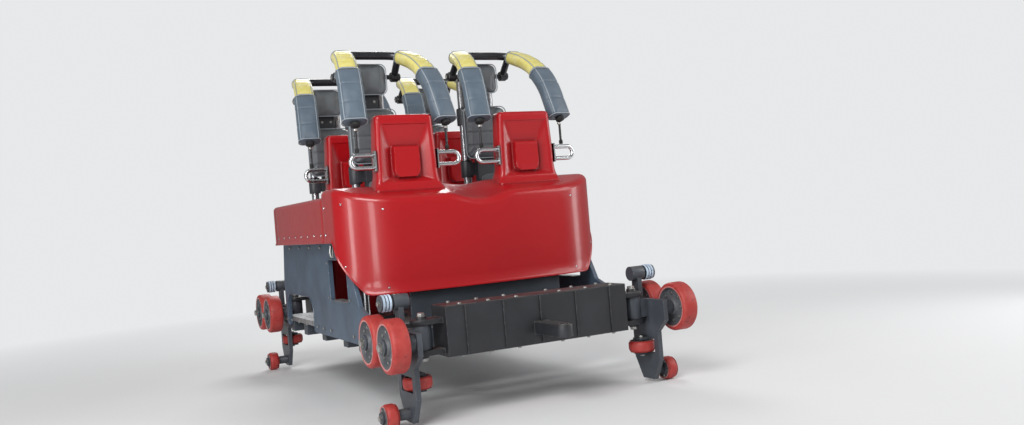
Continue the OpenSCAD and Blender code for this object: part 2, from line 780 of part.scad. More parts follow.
module restraint(side, end) {
    boss_l = 44;
    rod_d = 14;
    rod_low = -grip_drop + grip_d / 2 + 6;
    seat = 3;
    color([0.05, 0.05, 0.06]) at_stall(side, end) {
        difference() {
            union() {
                x_rod(-yoke_w / 2, yoke_w / 2, yoke_set, yoke_rise, bar_d);
                for (s = [-1, 1]) {
                    translate([s * yoke_w / 2, yoke_set, yoke_rise]) sphere(d = bar_d + 12);
                    in_leg(s) {
                        leg_line([0, 0], bend_start) cylinder(d = bar_d, h = norm(bend_start) + seat);
                        leg_bend() circle(d = bend_d);
                        leg_line(leg_end, bend_stop) cylinder(d = bar_d, h = norm(leg_end - bend_stop) + seat);
                        translate([0, 10 - leg_end[0], rod_low - yoke_rise])
                            cylinder(d = rod_d, h = leg_end[1] + yoke_rise - rod_low + 12);
                    }
                    translate([s * yoke_w / 2, 0, 0]) {
                        translate([0, yoke_set, yoke_rise])
                            rotate([atan2(-hinge_back, -hinge_drop), 0, 0])
                                cylinder(d = bar_d - 6, h = norm([hinge_back, hinge_drop]));
                        x_rod(-boss_l / 2, boss_l / 2, hinge_dy, hinge_dz, shaft_d + 32);
                    }
                }
            }
            x_rod(-yoke_w, yoke_w, hinge_dy, hinge_dz, shaft_d + 2 * fit);
        }
    }
}

// Chest pads and shoulder sleeves around the tube, each in a straight and a bent length
module pads(side, end) {
    hole = bar_d + 2 * soft_gap;
    bend_hole = bend_d + 2 * soft_gap;
    pad_gap = 16;
    joint = 0.004;
    pad_l = norm(leg_end - bend_stop) - pad_gap - soft_gap;
    sleeve_l = 80;
    color([0.22, 0.26, 0.31]) at_stall(side, end) for (s = [-1, 1]) in_leg(s) {
        leg_line(leg_end, bend_stop) translate([0, 0, pad_gap]) linear_extrude(pad_l) difference() {
            round_rect(pad_w, pad_t, 30);
            circle(d = hole + 4);
        }
        leg_bend(joint, pad_share) difference() {
            round_rect(pad_t, pad_w, 30);
            circle(d = bend_hole);
        }
        leg_bend(pad_share + joint, 1) difference() {
            round_rect(sleeve_t, sleeve_w, 32);
            circle(d = bend_hole);
        }
        leg_line(bend_start, [0, 0]) translate([0, 0, soft_gap]) linear_extrude(sleeve_l) difference() {
            round_rect(sleeve_w, sleeve_t, 32);
            circle(d = bend_hole);
        }
    }
}

side_frames();
ladder_frame();
front_axle();
rear_axle();
floor_deck();
front_shell();
side_shells();
rear_shell();
mid_bulkhead();
front_towers();
rear_towers();
front_grips();
rear_grips();
slide_posts();
for (c = CORNERS) {
    carrier(c[1], c[2]);
    road_wheel(c[1], c[2], -1);
    road_wheel(c[1], c[2], 1);
    guide_wheel(c[1], c[2]);
    up_wheel(c[1], c[2]);
    carriage(c[1], c[2]);
    cushions(c[1], c[2]);
    restraint(c[1], c[2]);
    pads(c[1], c[2]);
}
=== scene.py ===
"""Looks of the stand-up coaster car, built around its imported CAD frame. Lengths are in metres."""

import math
from itertools import product

import bmesh
import bpy
from mathutils import Matrix, Vector
from mathutils.bvhtree import BVHTree


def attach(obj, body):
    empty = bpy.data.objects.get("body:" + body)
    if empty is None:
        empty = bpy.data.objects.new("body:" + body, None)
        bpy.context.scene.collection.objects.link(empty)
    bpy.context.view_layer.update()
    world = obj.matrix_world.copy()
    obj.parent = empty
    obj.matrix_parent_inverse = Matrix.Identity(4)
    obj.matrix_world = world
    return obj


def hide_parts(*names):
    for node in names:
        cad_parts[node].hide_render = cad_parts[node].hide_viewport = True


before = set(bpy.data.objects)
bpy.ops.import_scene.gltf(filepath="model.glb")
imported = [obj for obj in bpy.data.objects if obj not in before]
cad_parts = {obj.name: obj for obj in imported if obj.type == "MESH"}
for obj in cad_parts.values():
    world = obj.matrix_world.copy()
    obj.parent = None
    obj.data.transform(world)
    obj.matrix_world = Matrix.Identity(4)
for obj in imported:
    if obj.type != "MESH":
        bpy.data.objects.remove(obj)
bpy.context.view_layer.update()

# Heights and places shared with the part's source
RAIL_Z, DECK_Z, SKIRT_Z, SILL_Z, LEDGE_Z, TOWER_Z = 0.273, 0.388, 0.583, 0.868, 1.121, 1.531
BROW_Z, COWL_Z = 1.077, 1.158
FACE_Y, REAR_Y, HALF_W = -0.770, 1.050, 0.780
SLOPE_Y, LIFT_Y, LEVEL_Y = FACE_Y + 0.220, FACE_Y + 0.070, FACE_Y + 0.240
SPLIT_Y, REAR_SPLIT_Y, SHELL_GAP, SHELL_T = -0.370, 0.810, 0.006, 0.010
FACE_HALF, CORNER_RUN, CORNER_POWER, FACE_BULGE = 0.480, 0.200, 4 / 3, 0.024
FLANGE_W, COAMING_DROP = 0.120, 0.130
DIP_R, DIP_DEPTH = 0.380, 0.036
NOSE_RUN, TOWER_SET = FACE_BULGE + 0.001, 0.120
BROW_SLOPE = math.atan2(COWL_Z - BROW_Z, SLOPE_Y - FACE_Y + NOSE_RUN)
LEDGE_RUN, REAR_LEDGE = 0.290, 0.030
TOWER_W, TOWER_FOOT_W, TOWER_D, TOWER_FOOT_D = 0.350, 0.400, 0.110, 0.150
TOWER_FOOT = BROW_Z + (COWL_Z - BROW_Z) * (TOWER_SET + NOSE_RUN) / (SLOPE_Y - FACE_Y + NOSE_RUN) - TOWER_Z
RECESS_HALF, TOWER_FLARE, GRIP_LOW, GRIP_HIGH = 0.153, 0.110, -0.280, -0.212
AXLE_Y, RAIL_X, KING_X = 1.250, 0.780, 0.590
BEAM_LOW, BEAM_HIGH = RAIL_Z + 0.030, RAIL_Z + 0.270
ROAD_Z, ROAD_PITCH, GUIDE_X, GUIDE_Z, UP_Z = 0.398, 0.270, 0.632, 0.198, 0.060
YOKE_W, YOKE_SET, YOKE_RISE, SPLAY = 0.350, 0.500, 0.410, math.radians(11)
BAR_D, BEND_R = 0.048, 0.450
SHOULDER_SLOPE, SHOULDER_LEN = math.radians(20), 0.333
CHEST_SLOPE, CHEST_LEN = math.radians(68), 0.374
PAD_SHARE, PAD_GAP, SLEEVE_L = 0.46, 0.016, 0.080
HINGE = Vector((0, 0.600, 0.300))
SPINE_FRONT, POST_DY, POST_GAP = 0.578, 0.662, 0.190
SADDLE_DZ, PIPING_R = -0.323, 0.0032
FRAME_X, STEP_Y, STEP_HALF = 0.725, -0.375, 0.173
# Corner names with their side (+1 is +X), their end (-1 is the front) and their stall's reference point
CORNERS = {"fl": (1, -1, Vector((0.365, -0.650, TOWER_Z))), "fr": (-1, -1, Vector((-0.365, -0.650, TOWER_Z))),
           "rl": (1, 1, Vector((0.365, 0.305, TOWER_Z))), "rr": (-1, 1, Vector((-0.365, 0.305, TOWER_Z)))}
X, Y, Z = Vector((1, 0, 0)), Vector((0, 1, 0)), Vector((0, 0, 1))


# Camera and light

def make_camera():
    right, up = Vector((0.892, -0.445, -0.082)), Vector((0.072, -0.040, 0.997))
    ahead = Vector((0.447, 0.895, 0.004))
    data = bpy.data.cameras.new("camera")
    data.sensor_width, data.lens = 36.0, 32.6
    camera = bpy.data.objects.new("camera", data)
    bpy.context.scene.collection.objects.link(camera)
    turn = Matrix((right, up, -ahead)).transposed().to_quaternion()
    camera.matrix_world = Matrix.Translation((-2.116, -5.353, 0.935)) @ turn.to_matrix().to_4x4()
    bpy.context.scene.camera = camera


def make_light(name, place, aim, size, power):
    data = bpy.data.lights.new(name, "AREA")
    data.shape, data.size, data.size_y, data.energy = "RECTANGLE", size[0], size[1], power
    lamp = bpy.data.objects.new(name, data)
    lamp.location = place
    lamp.rotation_euler = (Vector(aim) - Vector(place)).to_track_quat("-Z", "Y").to_euler()
    lamp.visible_camera = False
    bpy.context.scene.collection.objects.link(lamp)


def make_world(background, light):
    """A world that the camera sees as the background and that lights the object at its own level."""
    world = bpy.data.worlds.new("studio")
    bpy.context.scene.world = world
    world.use_nodes = True
    nodes, links = world.node_tree.nodes, world.node_tree.links
    shown, lit = nodes["Background"], nodes.new("ShaderNodeBackground")
    shown.inputs["Color"].default_value = (*background, 1)
    lit.inputs["Color"].default_value = (1, 1, 1, 1)
    lit.inputs["Strength"].default_value = light
    path, mix = nodes.new("ShaderNodeLightPath"), nodes.new("ShaderNodeMixShader")
    links.new(path.outputs["Is Camera Ray"], mix.inputs[0])
    links.new(lit.outputs[0], mix.inputs[1])
    links.new(shown.outputs[0], mix.inputs[2])
    links.new(mix.outputs[0], nodes["World Output"].inputs["Surface"])


# Materials

class Look:
    """A node material. Its methods add layers on top of the ones before."""

    def __init__(self, name, base, rough, metallic=0.0, **sockets):
        self.material = bpy.data.materials.new(name)
        self.material.use_nodes = True
        self.nodes, self.links = self.material.node_tree.nodes, self.material.node_tree.links
        self.bsdf = self.nodes["Principled BSDF"]
        self.bsdf.inputs["Base Color"].default_value = (*base, 1)
        self.bsdf.inputs["Roughness"].default_value = rough
        self.bsdf.inputs["Metallic"].default_value = metallic
        for socket, value in sockets.items():
            self.bsdf.inputs[socket.replace("_", " ")].default_value = value
        self.place = self.nodes.new("ShaderNodeTexCoord").outputs["Object"]

    def feed(self, socket, value):
        """Links or sets a socket."""
        if isinstance(value, bpy.types.NodeSocket):
            self.links.new(value, socket)
        else:
            socket.default_value = value

    def node(self, kind, inputs=(), **settings):
        made = self.nodes.new("ShaderNode" + kind)
        for key, value in settings.items():
            setattr(made, key, value)
        for key, value in dict(inputs).items():
            self.feed(made.inputs[key], value)
        return made

    def stretched(self, scale):
        return self.node("Mapping", {"Vector": self.place, "Scale": scale}).outputs[0]

    def noise(self, scale, detail=4.0, stretch=(1, 1, 1)):
        inputs = {"Vector": self.stretched(stretch), "Scale": scale, "Detail": detail}
        return self.node("TexNoise", inputs).outputs["Fac"]

    def cells(self, scale):
        inputs = {"Vector": self.stretched((1, 1, 1)), "Scale": scale}
        return self.node("TexVoronoi", inputs).outputs["Distance"]

    def band(self, value, low, high, to=(0.0, 1.0)):
        return self.node("MapRange", {"Value": value, "From Min": low, "From Max": high,
                                      "To Min": to[0], "To Max": to[1]}).outputs["Result"]

    def patches(self, scale, detail, low, high, most):
        """Noise cut to patches that reach a value."""
        return self.band(self.noise(scale, detail), low, high, (0, most))

    def maths(self, operation, a, b=0.0):
        return self.node("Math", {0: a, 1: b}, operation=operation).outputs[0]

    def edges(self, radius=0.004):
        """1 on sharp edges and 0 on flat places."""
        rounded = self.node("Bevel", {"Radius": radius}, samples=4).outputs[0]
        flat = self.node("NewGeometry").outputs["Normal"]
        dot = self.node("VectorMath", {0: rounded, 1: flat}, operation="DOT_PRODUCT").outputs["Value"]
        return self.band(self.maths("SUBTRACT", 1.0, dot), 0.006, 0.08)

    def facing_up(self, low=0.5, high=0.95):
        normal = self.node("NewGeometry").outputs["Normal"]
        return self.band(self.node("SeparateXYZ", {0: normal}).outputs["Z"], low, high)

    def corners(self, distance, low, high):
        """1 in recesses, where the materials paint shade darker."""
        open_sky = self.node("AmbientOcclusion", {"Distance": distance}, samples=4).outputs["AO"]
        return self.band(open_sky, high, low)

    def over(self, socket, fac, value):
        """Mixes a value or colour over what feeds one of the shader's sockets."""
        target = self.bsdf.inputs[socket]
        colour = socket == "Base Color"
        mix = self.node("Mix", {}, data_type="RGBA" if colour else "FLOAT")
        a, b, out = (6, 7, 2) if colour else (2, 3, 0)
        self.feed(mix.inputs[a], target.links[0].from_socket if target.is_linked else target.default_value)
        self.feed(mix.inputs[b], (*value, 1) if colour else value)
        self.feed(mix.inputs[0], fac)
        self.links.new(mix.outputs[out], target)
        return self

    def tint(self, fac, colour):
        return self.over("Base Color", fac, colour)

    def gloss(self, fac, rough):
        return self.over("Roughness", fac, rough)

    def bump(self, height, depth):
        """Adds a relief of that depth, in metres, over the ones before."""
        made = self.node("Bump", {"Height": height, "Distance": depth, "Strength": 1.0})
        target = self.bsdf.inputs["Normal"]
        if target.is_linked:
            self.links.new(target.links[0].from_socket, made.inputs["Normal"])
        self.links.new(made.outputs[0], target)
        return self


def shade(colour, by, plus=0.0):
    return tuple(c * by + plus for c in colour)


def moulded_red():
    look = Look("moulded_red", (0.37, 0.0045, 0.008), 0.30, Specular_IOR_Level=0.35, Coat_Weight=0.30,
                Coat_Roughness=0.10)
    look.tint(look.patches(2.2, 5, 0.35, 0.7, 0.30), (0.29, 0.003, 0.006))
    dust = look.maths("MULTIPLY", look.facing_up(), look.patches(7, 8, 0.45, 0.75, 0.18))
    look.tint(dust, (0.36, 0.16, 0.13)).gloss(dust, 0.8)
    scuff = look.maths("MULTIPLY", look.edges(0.006), look.patches(26, 6, 0.50, 0.62, 0.50))
    look.tint(scuff, (0.52, 0.10, 0.08)).gloss(scuff, 0.55)
    # Painted shade: the red turns nearly black in recesses.
    look.tint(look.corners(0.05, 0.35, 0.9), (0.10, 0.003, 0.005))
    look.gloss(look.patches(24, 3, 0.50, 0.75, 0.4), 0.42)
    look.bump(look.noise(140, 2), 0.00008).bump(look.noise(3, 2), 0.0006)
    return look.material


def painted(name, base, rough, worn, amount=0.6):
    """Paint on steel with mottled tone, painted shade darkening its corners and bare metal along worn edges.
    """
    look = Look(name, base, rough, Coat_Weight=0.15, Coat_Roughness=0.25)
    look.tint(look.patches(6, 6, 0.40, 0.70, 0.6), shade(base, 1.7, 0.004))
    # Painted shade: a darker copy of the paint in recesses.
    look.tint(look.corners(0.04, 0.25, 0.85), shade(base, 0.35)).gloss(look.noise(9, 5), rough + 0.2)
    dust = look.maths("MULTIPLY", look.facing_up(0.3, 1.0), look.patches(11, 8, 0.42, 0.75, 0.45))
    look.tint(dust, (0.17, 0.15, 0.13)).gloss(dust, 0.9)
    chips = look.maths("MULTIPLY", look.edges(), look.patches(54, 8, 0.50, 0.58, amount))
    look.tint(chips, worn).over("Metallic", chips, 0.9).gloss(chips, 0.38)
    return look.bump(look.noise(220, 3), 0.00012).bump(look.noise(14, 3), 0.0006).material


def steel(name, base, rough, grain, stretch):
    look = Look(name, base, rough, 1.0)
    lines = look.noise(grain, 6, stretch)
    look.tint(look.patches(12, 6, 0.45, 0.7, 0.4), shade(base, 0.7))
    look.gloss(look.band(lines, 0.35, 0.7), rough + 0.16)
    # Painted shade: the metal turns darker in recesses.
    look.tint(look.corners(0.02, 0.3, 0.9), shade(base, 0.3))
    return look.bump(lines, 0.00005).material


def vinyl(name, base, lighter, rough=0.48):
    """Coated cloth with a pebbled grain, rubbed lighter where it is touched."""
    look = Look(name, base, rough, Sheen_Weight=0.12, Sheen_Roughness=0.5)
    look.tint(look.patches(16, 6, 0.42, 0.72, 0.55), lighter)
    # Painted shade: the cloth turns darker in creases and recesses.
    look.tint(look.corners(0.03, 0.3, 0.9), shade(base, 0.4))
    look.gloss(look.patches(30, 5, 0.4, 0.7, 0.6), rough - 0.12)
    return look.bump(look.cells(620), 0.00022).bump(look.noise(60, 4), 0.0005).material


def urethane():
    look = Look("urethane_red", (0.36, 0.030, 0.026), 0.42, Specular_IOR_Level=0.45)
    look.tint(look.patches(20, 6, 0.4, 0.7, 0.5), (0.46, 0.075, 0.06))
    look.tint(look.patches(48, 8, 0.56, 0.72, 0.7), (0.10, 0.018, 0.016))
    look.gloss(look.noise(35, 5), 0.62)
    return look.bump(look.noise(160, 4), 0.00025).material


def rubber(name, base):
    look = Look(name, base, 0.72, Specular_IOR_Level=0.3)
    look.tint(look.patches(24, 6, 0.45, 0.75, 0.5), shade(base, 2, 0.02))
    return look.bump(look.noise(180, 5), 0.0003).material


def chequer_metal():
    look = Look("chequer_metal", (0.42, 0.43, 0.44), 0.36, 1.0)
    grime = look.patches(8, 8, 0.40, 0.66, 0.75)
    look.tint(grime, (0.10, 0.10, 0.10)).gloss(grime, 0.7).over("Metallic", grime, 0.3)
    look.gloss(look.band(look.noise(90, 4, (1, 0.2, 1)), 0.5, 0.7, (0, 0.5)), 0.22)
    return look.bump(look.noise(300, 4), 0.00008).material


def floor_paint(background):
    """Pale paint that turns into the background far from the object, for the camera alone."""
    look = Look("floor_paint", (0.74, 0.745, 0.75), 0.65)
    look.tint(look.patches(1.4, 4, 0.4, 0.7, 0.15), (0.68, 0.685, 0.69))
    away = look.node("VectorMath", {0: look.place}, operation="LENGTH").outputs["Value"]
    seen = look.maths("MULTIPLY", look.band(away, 2.2, 6.5), look.node("LightPath").outputs["Is Camera Ray"])
    glow = look.node("Emission", {"Color": (*background, 1)}).outputs[0]
    mixed = look.node("MixShader", {0: seen, 1: look.bsdf.outputs[0], 2: glow}).outputs[0]
    look.links.new(mixed, look.nodes["Material Output"].inputs["Surface"])
    return look.material


RED = moulded_red()
INNER = rubber("inner_black", (0.012, 0.012, 0.013))
FRAME = painted("frame_black_blue", (0.026, 0.033, 0.043), 0.42, (0.30, 0.31, 0.33))
FRAME_BLUE = painted("frame_blue_grey", (0.042, 0.066, 0.100), 0.42, (0.30, 0.32, 0.34))
AXLE = painted("axle_black", (0.013, 0.014, 0.017), 0.44, (0.20, 0.20, 0.21), 0.5)
CARRIER = painted("carrier_grey", (0.045, 0.052, 0.064), 0.44, (0.32, 0.33, 0.35), 0.5)
CARRIAGE = painted("carriage_black", (0.026, 0.029, 0.035), 0.36, (0.30, 0.31, 0.33), 0.4)
GLOSS_BLACK = painted("restraint_black", (0.010, 0.011, 0.014), 0.18, (0.22, 0.22, 0.23), 0.3)
HUB = painted("hub_grey", (0.075, 0.080, 0.090), 0.48, (0.36, 0.36, 0.37), 0.5)
POST_STEEL = steel("post_steel", (0.46, 0.47, 0.49), 0.24, 40, (1, 1, 22))
POLISHED = steel("polished_steel", (0.66, 0.67, 0.69), 0.16, 60, (9, 9, 1))
ZINC = steel("zinc_bolts", (0.52, 0.52, 0.50), 0.32, 90, (1, 1, 1))
URETHANE = urethane()
RIM_PINK = vinyl("urethane_rim", (0.50, 0.16, 0.15), (0.58, 0.27, 0.25), 0.5)
CHEQUER = chequer_metal()
SLATE = vinyl("slate_vinyl", (0.085, 0.118, 0.155), (0.125, 0.165, 0.205))
GREY_VINYL = vinyl("grey_vinyl", (0.115, 0.128, 0.142), (0.165, 0.178, 0.190))
PIPING = vinyl("piping_vinyl", (0.27, 0.31, 0.35), (0.36, 0.40, 0.43))
YELLOW = vinyl("yellow_vinyl", (0.68, 0.60, 0.16), (0.82, 0.78, 0.46), 0.34)
RUBBER = rubber("black_rubber", (0.018, 0.018, 0.019))
BUFFER = rubber("buffer_blue_white", (0.36, 0.44, 0.54))


# Mesh building

class Form:
    """The faces of one piece, gathered part by part in the shared frame."""

    def __init__(self):
        self.points, self.faces, self.slots = [], [], []

    def grid(self, rows, slot=0, closed=False, flip=False):
        """A sheet of quads through rows of points; closed joins each row's ends."""
        start, width = len(self.points), len(rows[0])
        self.points += [Vector(p) for row in rows for p in row]
        for i in range(len(rows) - 1):
            for j in range(width if closed else width - 1):
                a, b = start + i * width + j, start + i * width + (j + 1) % width
                face = [a, b, b + width, a + width]
                self.faces.append(face[::-1] if flip else face)
                self.slots.append(slot)
        return self

    def closed(self, rows, slot=0, flip=False):
        """A closed body through rings of points."""
        return self.grid(rows, slot, True, flip).cap(rows[0], slot, not flip).cap(rows[-1], slot, flip)

    def cap(self, row, slot=0, flip=False):
        start = len(self.points)
        self.points += [Vector(p) for p in row]
        face = list(range(start, start + len(row)))
        self.faces.append(face[::-1] if flip else face)
        self.slots.append(slot)
        return self

    def lathe(self, profile, at, axis=Z, steps=24, slot=0, phase=0.0):
        """Turns (radius, height) pairs about an axis. A slot may be a list with one entry per band."""
        turn = Vector(axis).to_track_quat("Z", "Y")
        rows = [[Vector(at) + turn @ Vector((r * math.cos(a), r * math.sin(a), h))
                 for a in (phase + 2 * math.pi * k / steps for k in range(steps))] for r, h in profile]
        for k in range(len(rows) - 1):
            self.grid(rows[k:k + 2], slot[k] if isinstance(slot, (list, tuple)) else slot, True)
        return self

    def tube(self, path, radius, slot=0, sides=16, caps=True):
        """Sweeps a circle along a path without twist."""
        path = [Vector(p) for p in path]
        angles = [2 * math.pi * k / sides for k in range(sides)]
        rows, normal = [], None
        for k, point in enumerate(path):
            ahead = (path[min(k + 1, len(path) - 1)] - path[max(k - 1, 0)]).normalized()
            if normal is None:
                normal = ahead.orthogonal() if abs(ahead.x) > 0.9 else X - ahead * ahead.x
                normal.normalize()
            normal = (normal - ahead * normal.dot(ahead)).normalized()
            other = ahead.cross(normal)
            rows.append([point + (normal * (radius * math.cos(a)) + other * (radius * math.sin(a)))
                         for a in angles])
        return self.closed(rows, slot) if caps else self.grid(rows, slot, True)

    def loop(self, ring, radius, sides=8):
        """A round bead along a closed line, in the second material."""
        return self.tube(ring + ring[:1], radius, 1, sides, caps=False)

    def box(self, low, high, slot=0, round_by=0.0):
        """A block between two corners, its vertical edges and its top rounded off."""
        low, high = Vector(low), Vector(high)
        mid, half = (low + high) / 2, (high - low) / 2
        r = min(round_by, half.x * 0.9, half.y * 0.9, half.z * 0.9)
        levels = [(low.z, r), (low.z + r * 0.3, r * 0.3), (low.z + r, 0), (high.z - r, 0),
                  (high.z - r * 0.3, r * 0.3), (high.z, r)] if r else [(low.z, 0), (high.z, 0)]
        rows = []
        for z, i in levels:
            outline = round_rect(half.x - i, half.y - i, max(r - i, r * 0.2), 3)
            rows.append([(mid.x + x, mid.y + y, z) for x, y in outline])
        return self.closed(rows, slot)

    def bolt(self, at, axis, d=0.012, slot=0):
        """A hexagon head on a washer."""
        at = Vector(at)
        self.lathe([(0, 0), (d * 1.1, 0), (d * 1.1, d * 0.16), (0, d * 0.16)], at, axis, 18, slot)
        return self.lathe([(d * 0.92, d * 0.1), (d * 0.92, d * 0.68), (d * 0.8, d * 0.78), (0, d * 0.78)],
                          at, axis, 6, slot, 0.3)

    def screw(self, at, axis, d):
        """A low round head with a socket."""
        return self.lathe([(0, 0), (d, 0), (d, d * 0.15), (d * 0.8, d * 0.42), (d * 0.42, d * 0.52),
                           (d * 0.40, d * 0.2), (0, d * 0.2)], at, axis, 18)

    def piece(self, name, body, materials, slot=None, replaces=(), sharp=35):
        """Makes the object, smooth but for edges sharper than the angle, and lets it ride on its body."""
        mesh = bpy.data.meshes.new(name)
        mesh.from_pydata([tuple(p) for p in self.points], [], self.faces)
        mesh.polygons.foreach_set("material_index", self.slots)
        for material in materials:
            mesh.materials.append(material)

        def clean(work):
            bmesh.ops.remove_doubles(work, verts=work.verts, dist=1e-5)
            bmesh.ops.dissolve_degenerate(work, edges=work.edges, dist=1e-6)
        rework(mesh, clean)
        mesh.polygons.foreach_set("use_smooth", [True] * len(mesh.polygons))
        mesh.set_sharp_from_angle(angle=math.radians(sharp))
        return show(mesh, name, body, replaces)


def rework(mesh, change):
    """Runs a change on a mesh as a bmesh."""
    work = bmesh.new()
    work.from_mesh(mesh)
    change(work)
    work.to_mesh(mesh)
    work.free()


def show(mesh, name, body, replaces=(), place=None):
    made = bpy.data.objects.new(name, mesh)
    bpy.context.scene.collection.objects.link(made)
    if place is not None:
        made.matrix_world = place
    if body:
        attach(made, body)
    if replaces:
        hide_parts(*replaces)
    return made


def round_rect(half_w, half_h, r, steps=4):
    """Points round a rectangle with round corners, anticlockwise."""
    out = []
    for cx, cy, start in ((1, 1, 0), (-1, 1, 90), (-1, -1, 180), (1, -1, 270)):
        for k in range(steps + 1):
            a = math.radians(start + 90 * k / steps)
            out.append((cx * (half_w - r) + r * math.cos(a), cy * (half_h - r) + r * math.sin(a)))
    return out


def arc_path(points, radii, steps=8):
    """A line through the points, each inner corner rounded by its radius."""
    points = [Vector(p) for p in points]
    out = [points[0]]
    for before, corner, after, r in zip(points, points[1:], points[2:], radii):
        a, b = (before - corner).normalized(), (after - corner).normalized()
        half = a.angle(b) / 2
        centre = corner + (a + b).normalized() * (r / math.sin(half))
        start, stop = corner + a * (r / math.tan(half)), corner + b * (r / math.tan(half))
        u, v = start - centre, stop - centre
        turn = u.angle(v)
        for k in range(steps + 1):
            t = turn * k / steps
            out.append(centre + (u * math.sin(turn - t) + v * math.sin(t)) / math.sin(turn))
    return out + [points[-1]]


def ramp(t):
    t = min(1.0, max(0.0, t))
    return t * t * (3 - 2 * t)


def spread(keys, fine=0.004, coarse=0.05):
    """Sorted stations that lie close together near the keys and far apart between them."""
    out = []
    keys = sorted(keys)
    for a, b in zip(keys, keys[1:]):
        count = max(1, math.ceil((b - a) / coarse))
        out += [a + (b - a) * k / count for k in range(count)]
    near = [k + o for k in keys[1:-1] for o in (-2 * fine, -fine, fine, 2 * fine)]
    out = sorted(set(round(v, 5) for v in out + near + [keys[-1]] if keys[0] <= v <= keys[-1]))
    return [v for k, v in enumerate(out) if k == 0 or v - out[k - 1] > fine * 0.4 or k == len(out) - 1]


def paint(node, material):
    """Gives a CAD node its material."""
    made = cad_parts[node]
    made.data.materials.clear()
    made.data.materials.append(material)
    return made


def dress(node, material, width=0.003):
    """Gives a CAD node its material and rounds its edges."""
    made = paint(node, material)
    weld = made.modifiers.new("weld", "WELD")
    weld.merge_threshold = 1e-5
    flat = made.modifiers.new("flat", "DECIMATE")
    flat.decimate_type, flat.angle_limit = "DISSOLVE", math.radians(0.8)
    bevel = made.modifiers.new("bevel", "BEVEL")
    bevel.width, bevel.segments, bevel.limit_method = width, 2, "ANGLE"
    bevel.angle_limit, bevel.use_clamp_overlap, bevel.harden_normals = math.radians(35), True, False


# Body

def plan_points(y_end):
    """The +X half of the body's plan with its outward normals, from the middle of the face round to y_end."""
    face_steps, corner_steps, side_steps = 48, 16, 8
    xs = [FACE_HALF * k / face_steps for k in range(face_steps)]
    out = [(x, FACE_Y - FACE_BULGE * (1 - (x / FACE_HALF) ** 2)) for x in xs]
    for k in range(corner_steps + 1):
        a = math.pi / 2 * k / corner_steps
        out.append((FACE_HALF + (HALF_W - FACE_HALF) * math.sin(a) ** CORNER_POWER,
                    FACE_Y + CORNER_RUN * (1 - abs(math.cos(a)) ** CORNER_POWER)))
    straight = y_end - FACE_Y - CORNER_RUN
    out += [(HALF_W, y_end - straight * (1 - k / side_steps)) for k in range(1, side_steps + 1)]
    points = [Vector((x, y, 0)) for x, y in out]
    normals = []
    for k in range(len(points)):
        along = points[min(k + 1, len(points) - 1)] - points[max(k - 1, 0)]
        normals.append(Vector((along.y, -along.x, 0)).normalized())
    normals[0], normals[-1] = -Y, X
    return points, normals


def bay_edge(p, centre, half, power):
    """The edge of the bay on the ray from a centre through an outer point: a rectangle with round corners."""
    if p.x <= centre.x:
        return Vector((p.x, centre.y - half.y, 0))
    if p.y >= centre.y:
        return Vector((centre.x + half.x, p.y, 0))
    d = (p - centre).normalized()
    reach = (abs(d.x / half.x) ** power + abs(d.y / half.y) ** power) ** (-1 / power)
    return centre + d * reach


def soft_min(a, b, blend):
    """The lower of two values, with a round where they cross."""
    h = max(0.0, 1 - abs(a - b) / blend)
    return min(a, b) - h * h * blend / 4


def cowl(x, y):
    """Height of the front shell's top: a slope up from the brow, with a trough between the towers."""
    nose = FACE_Y - FACE_BULGE
    slope = soft_min(BROW_Z + (COWL_Z - BROW_Z) * (y - nose) / (SLOPE_Y - nose), COWL_Z, 0.012)
    if abs(x) >= DIP_R:
        return slope
    sag = DIP_R - DIP_DEPTH - math.sqrt(DIP_R ** 2 - x * x)
    return soft_min(slope, BROW_Z + (y - nose) * math.tan(BROW_SLOPE) + sag / math.cos(BROW_SLOPE), 0.022)


def level(x, y):
    return LEDGE_Z


def moulding_rows(stations, top=level, top_r=0.028, ledge_steps=6):
    """Rows of a moulded shell's outer face: lip, wall, rounded shoulder, ledge, inner edge and coaming.
    Each station has its outer point, outward normal, bay edge, lower edge and coaming depth."""
    lip, inner_r = 0.016, 0.012

    def wall(p, n, zb):
        rise = top(p.x, p.y) - top_r - zb - lip
        curl = (0.0045, 0.0), (0.005, 0.006), (0.003, 0.011), (0.0, lip)
        lower = [p + n * out + Z * (zb + up) for out, up in curl]
        return lower + [p + Z * (zb + lip + rise * k / 8) for k in range(1, 9)]

    def shoulder(p, n):
        crest = p - n * top_r
        rise = top(crest.x, crest.y) - top(p.x, p.y)
        turns = [math.radians(90 * k / 7) for k in range(1, 8)]
        return [p - n * top_r * (1 - math.cos(a))
                + Z * (top(p.x, p.y) - top_r + top_r * math.sin(a) + rise * (1 - math.cos(a))) for a in turns]

    def ledge(p, n, q, drop):
        inward = (q - p).normalized()
        end = q - inward * inner_r
        flat = [(p - n * top_r).lerp(end, k / ledge_steps) for k in range(1, ledge_steps + 1)]
        turns = [math.radians(90 * k / 4) for k in range(1, 5)]
        edge = [end + inward * inner_r * math.sin(a) for a in turns]
        return ([v + Z * top(v.x, v.y) for v in flat]
                + [v + Z * (top(v.x, v.y) - inner_r * (1 - math.cos(a))) for v, a in zip(edge, turns)]
                + [q + Z * (top(q.x, q.y) - inner_r - drop)])

    columns = [wall(p, n, zb) + shoulder(p, n) + ledge(p, n, q, drop) for p, n, q, zb, drop in stations]
    return [list(row) for row in zip(*columns)]


def thicken(made, thickness=SHELL_T):
    solid = made.modifiers.new("wall", "SOLIDIFY")
    solid.thickness, solid.offset, solid.use_even_offset = thickness, -1, False
    solid.material_offset = 1
    bevel = made.modifiers.new("edges", "BEVEL")
    bevel.width, bevel.segments, bevel.limit_method, bevel.angle_limit = 0.0025, 2, "ANGLE", math.radians(50)
    return made


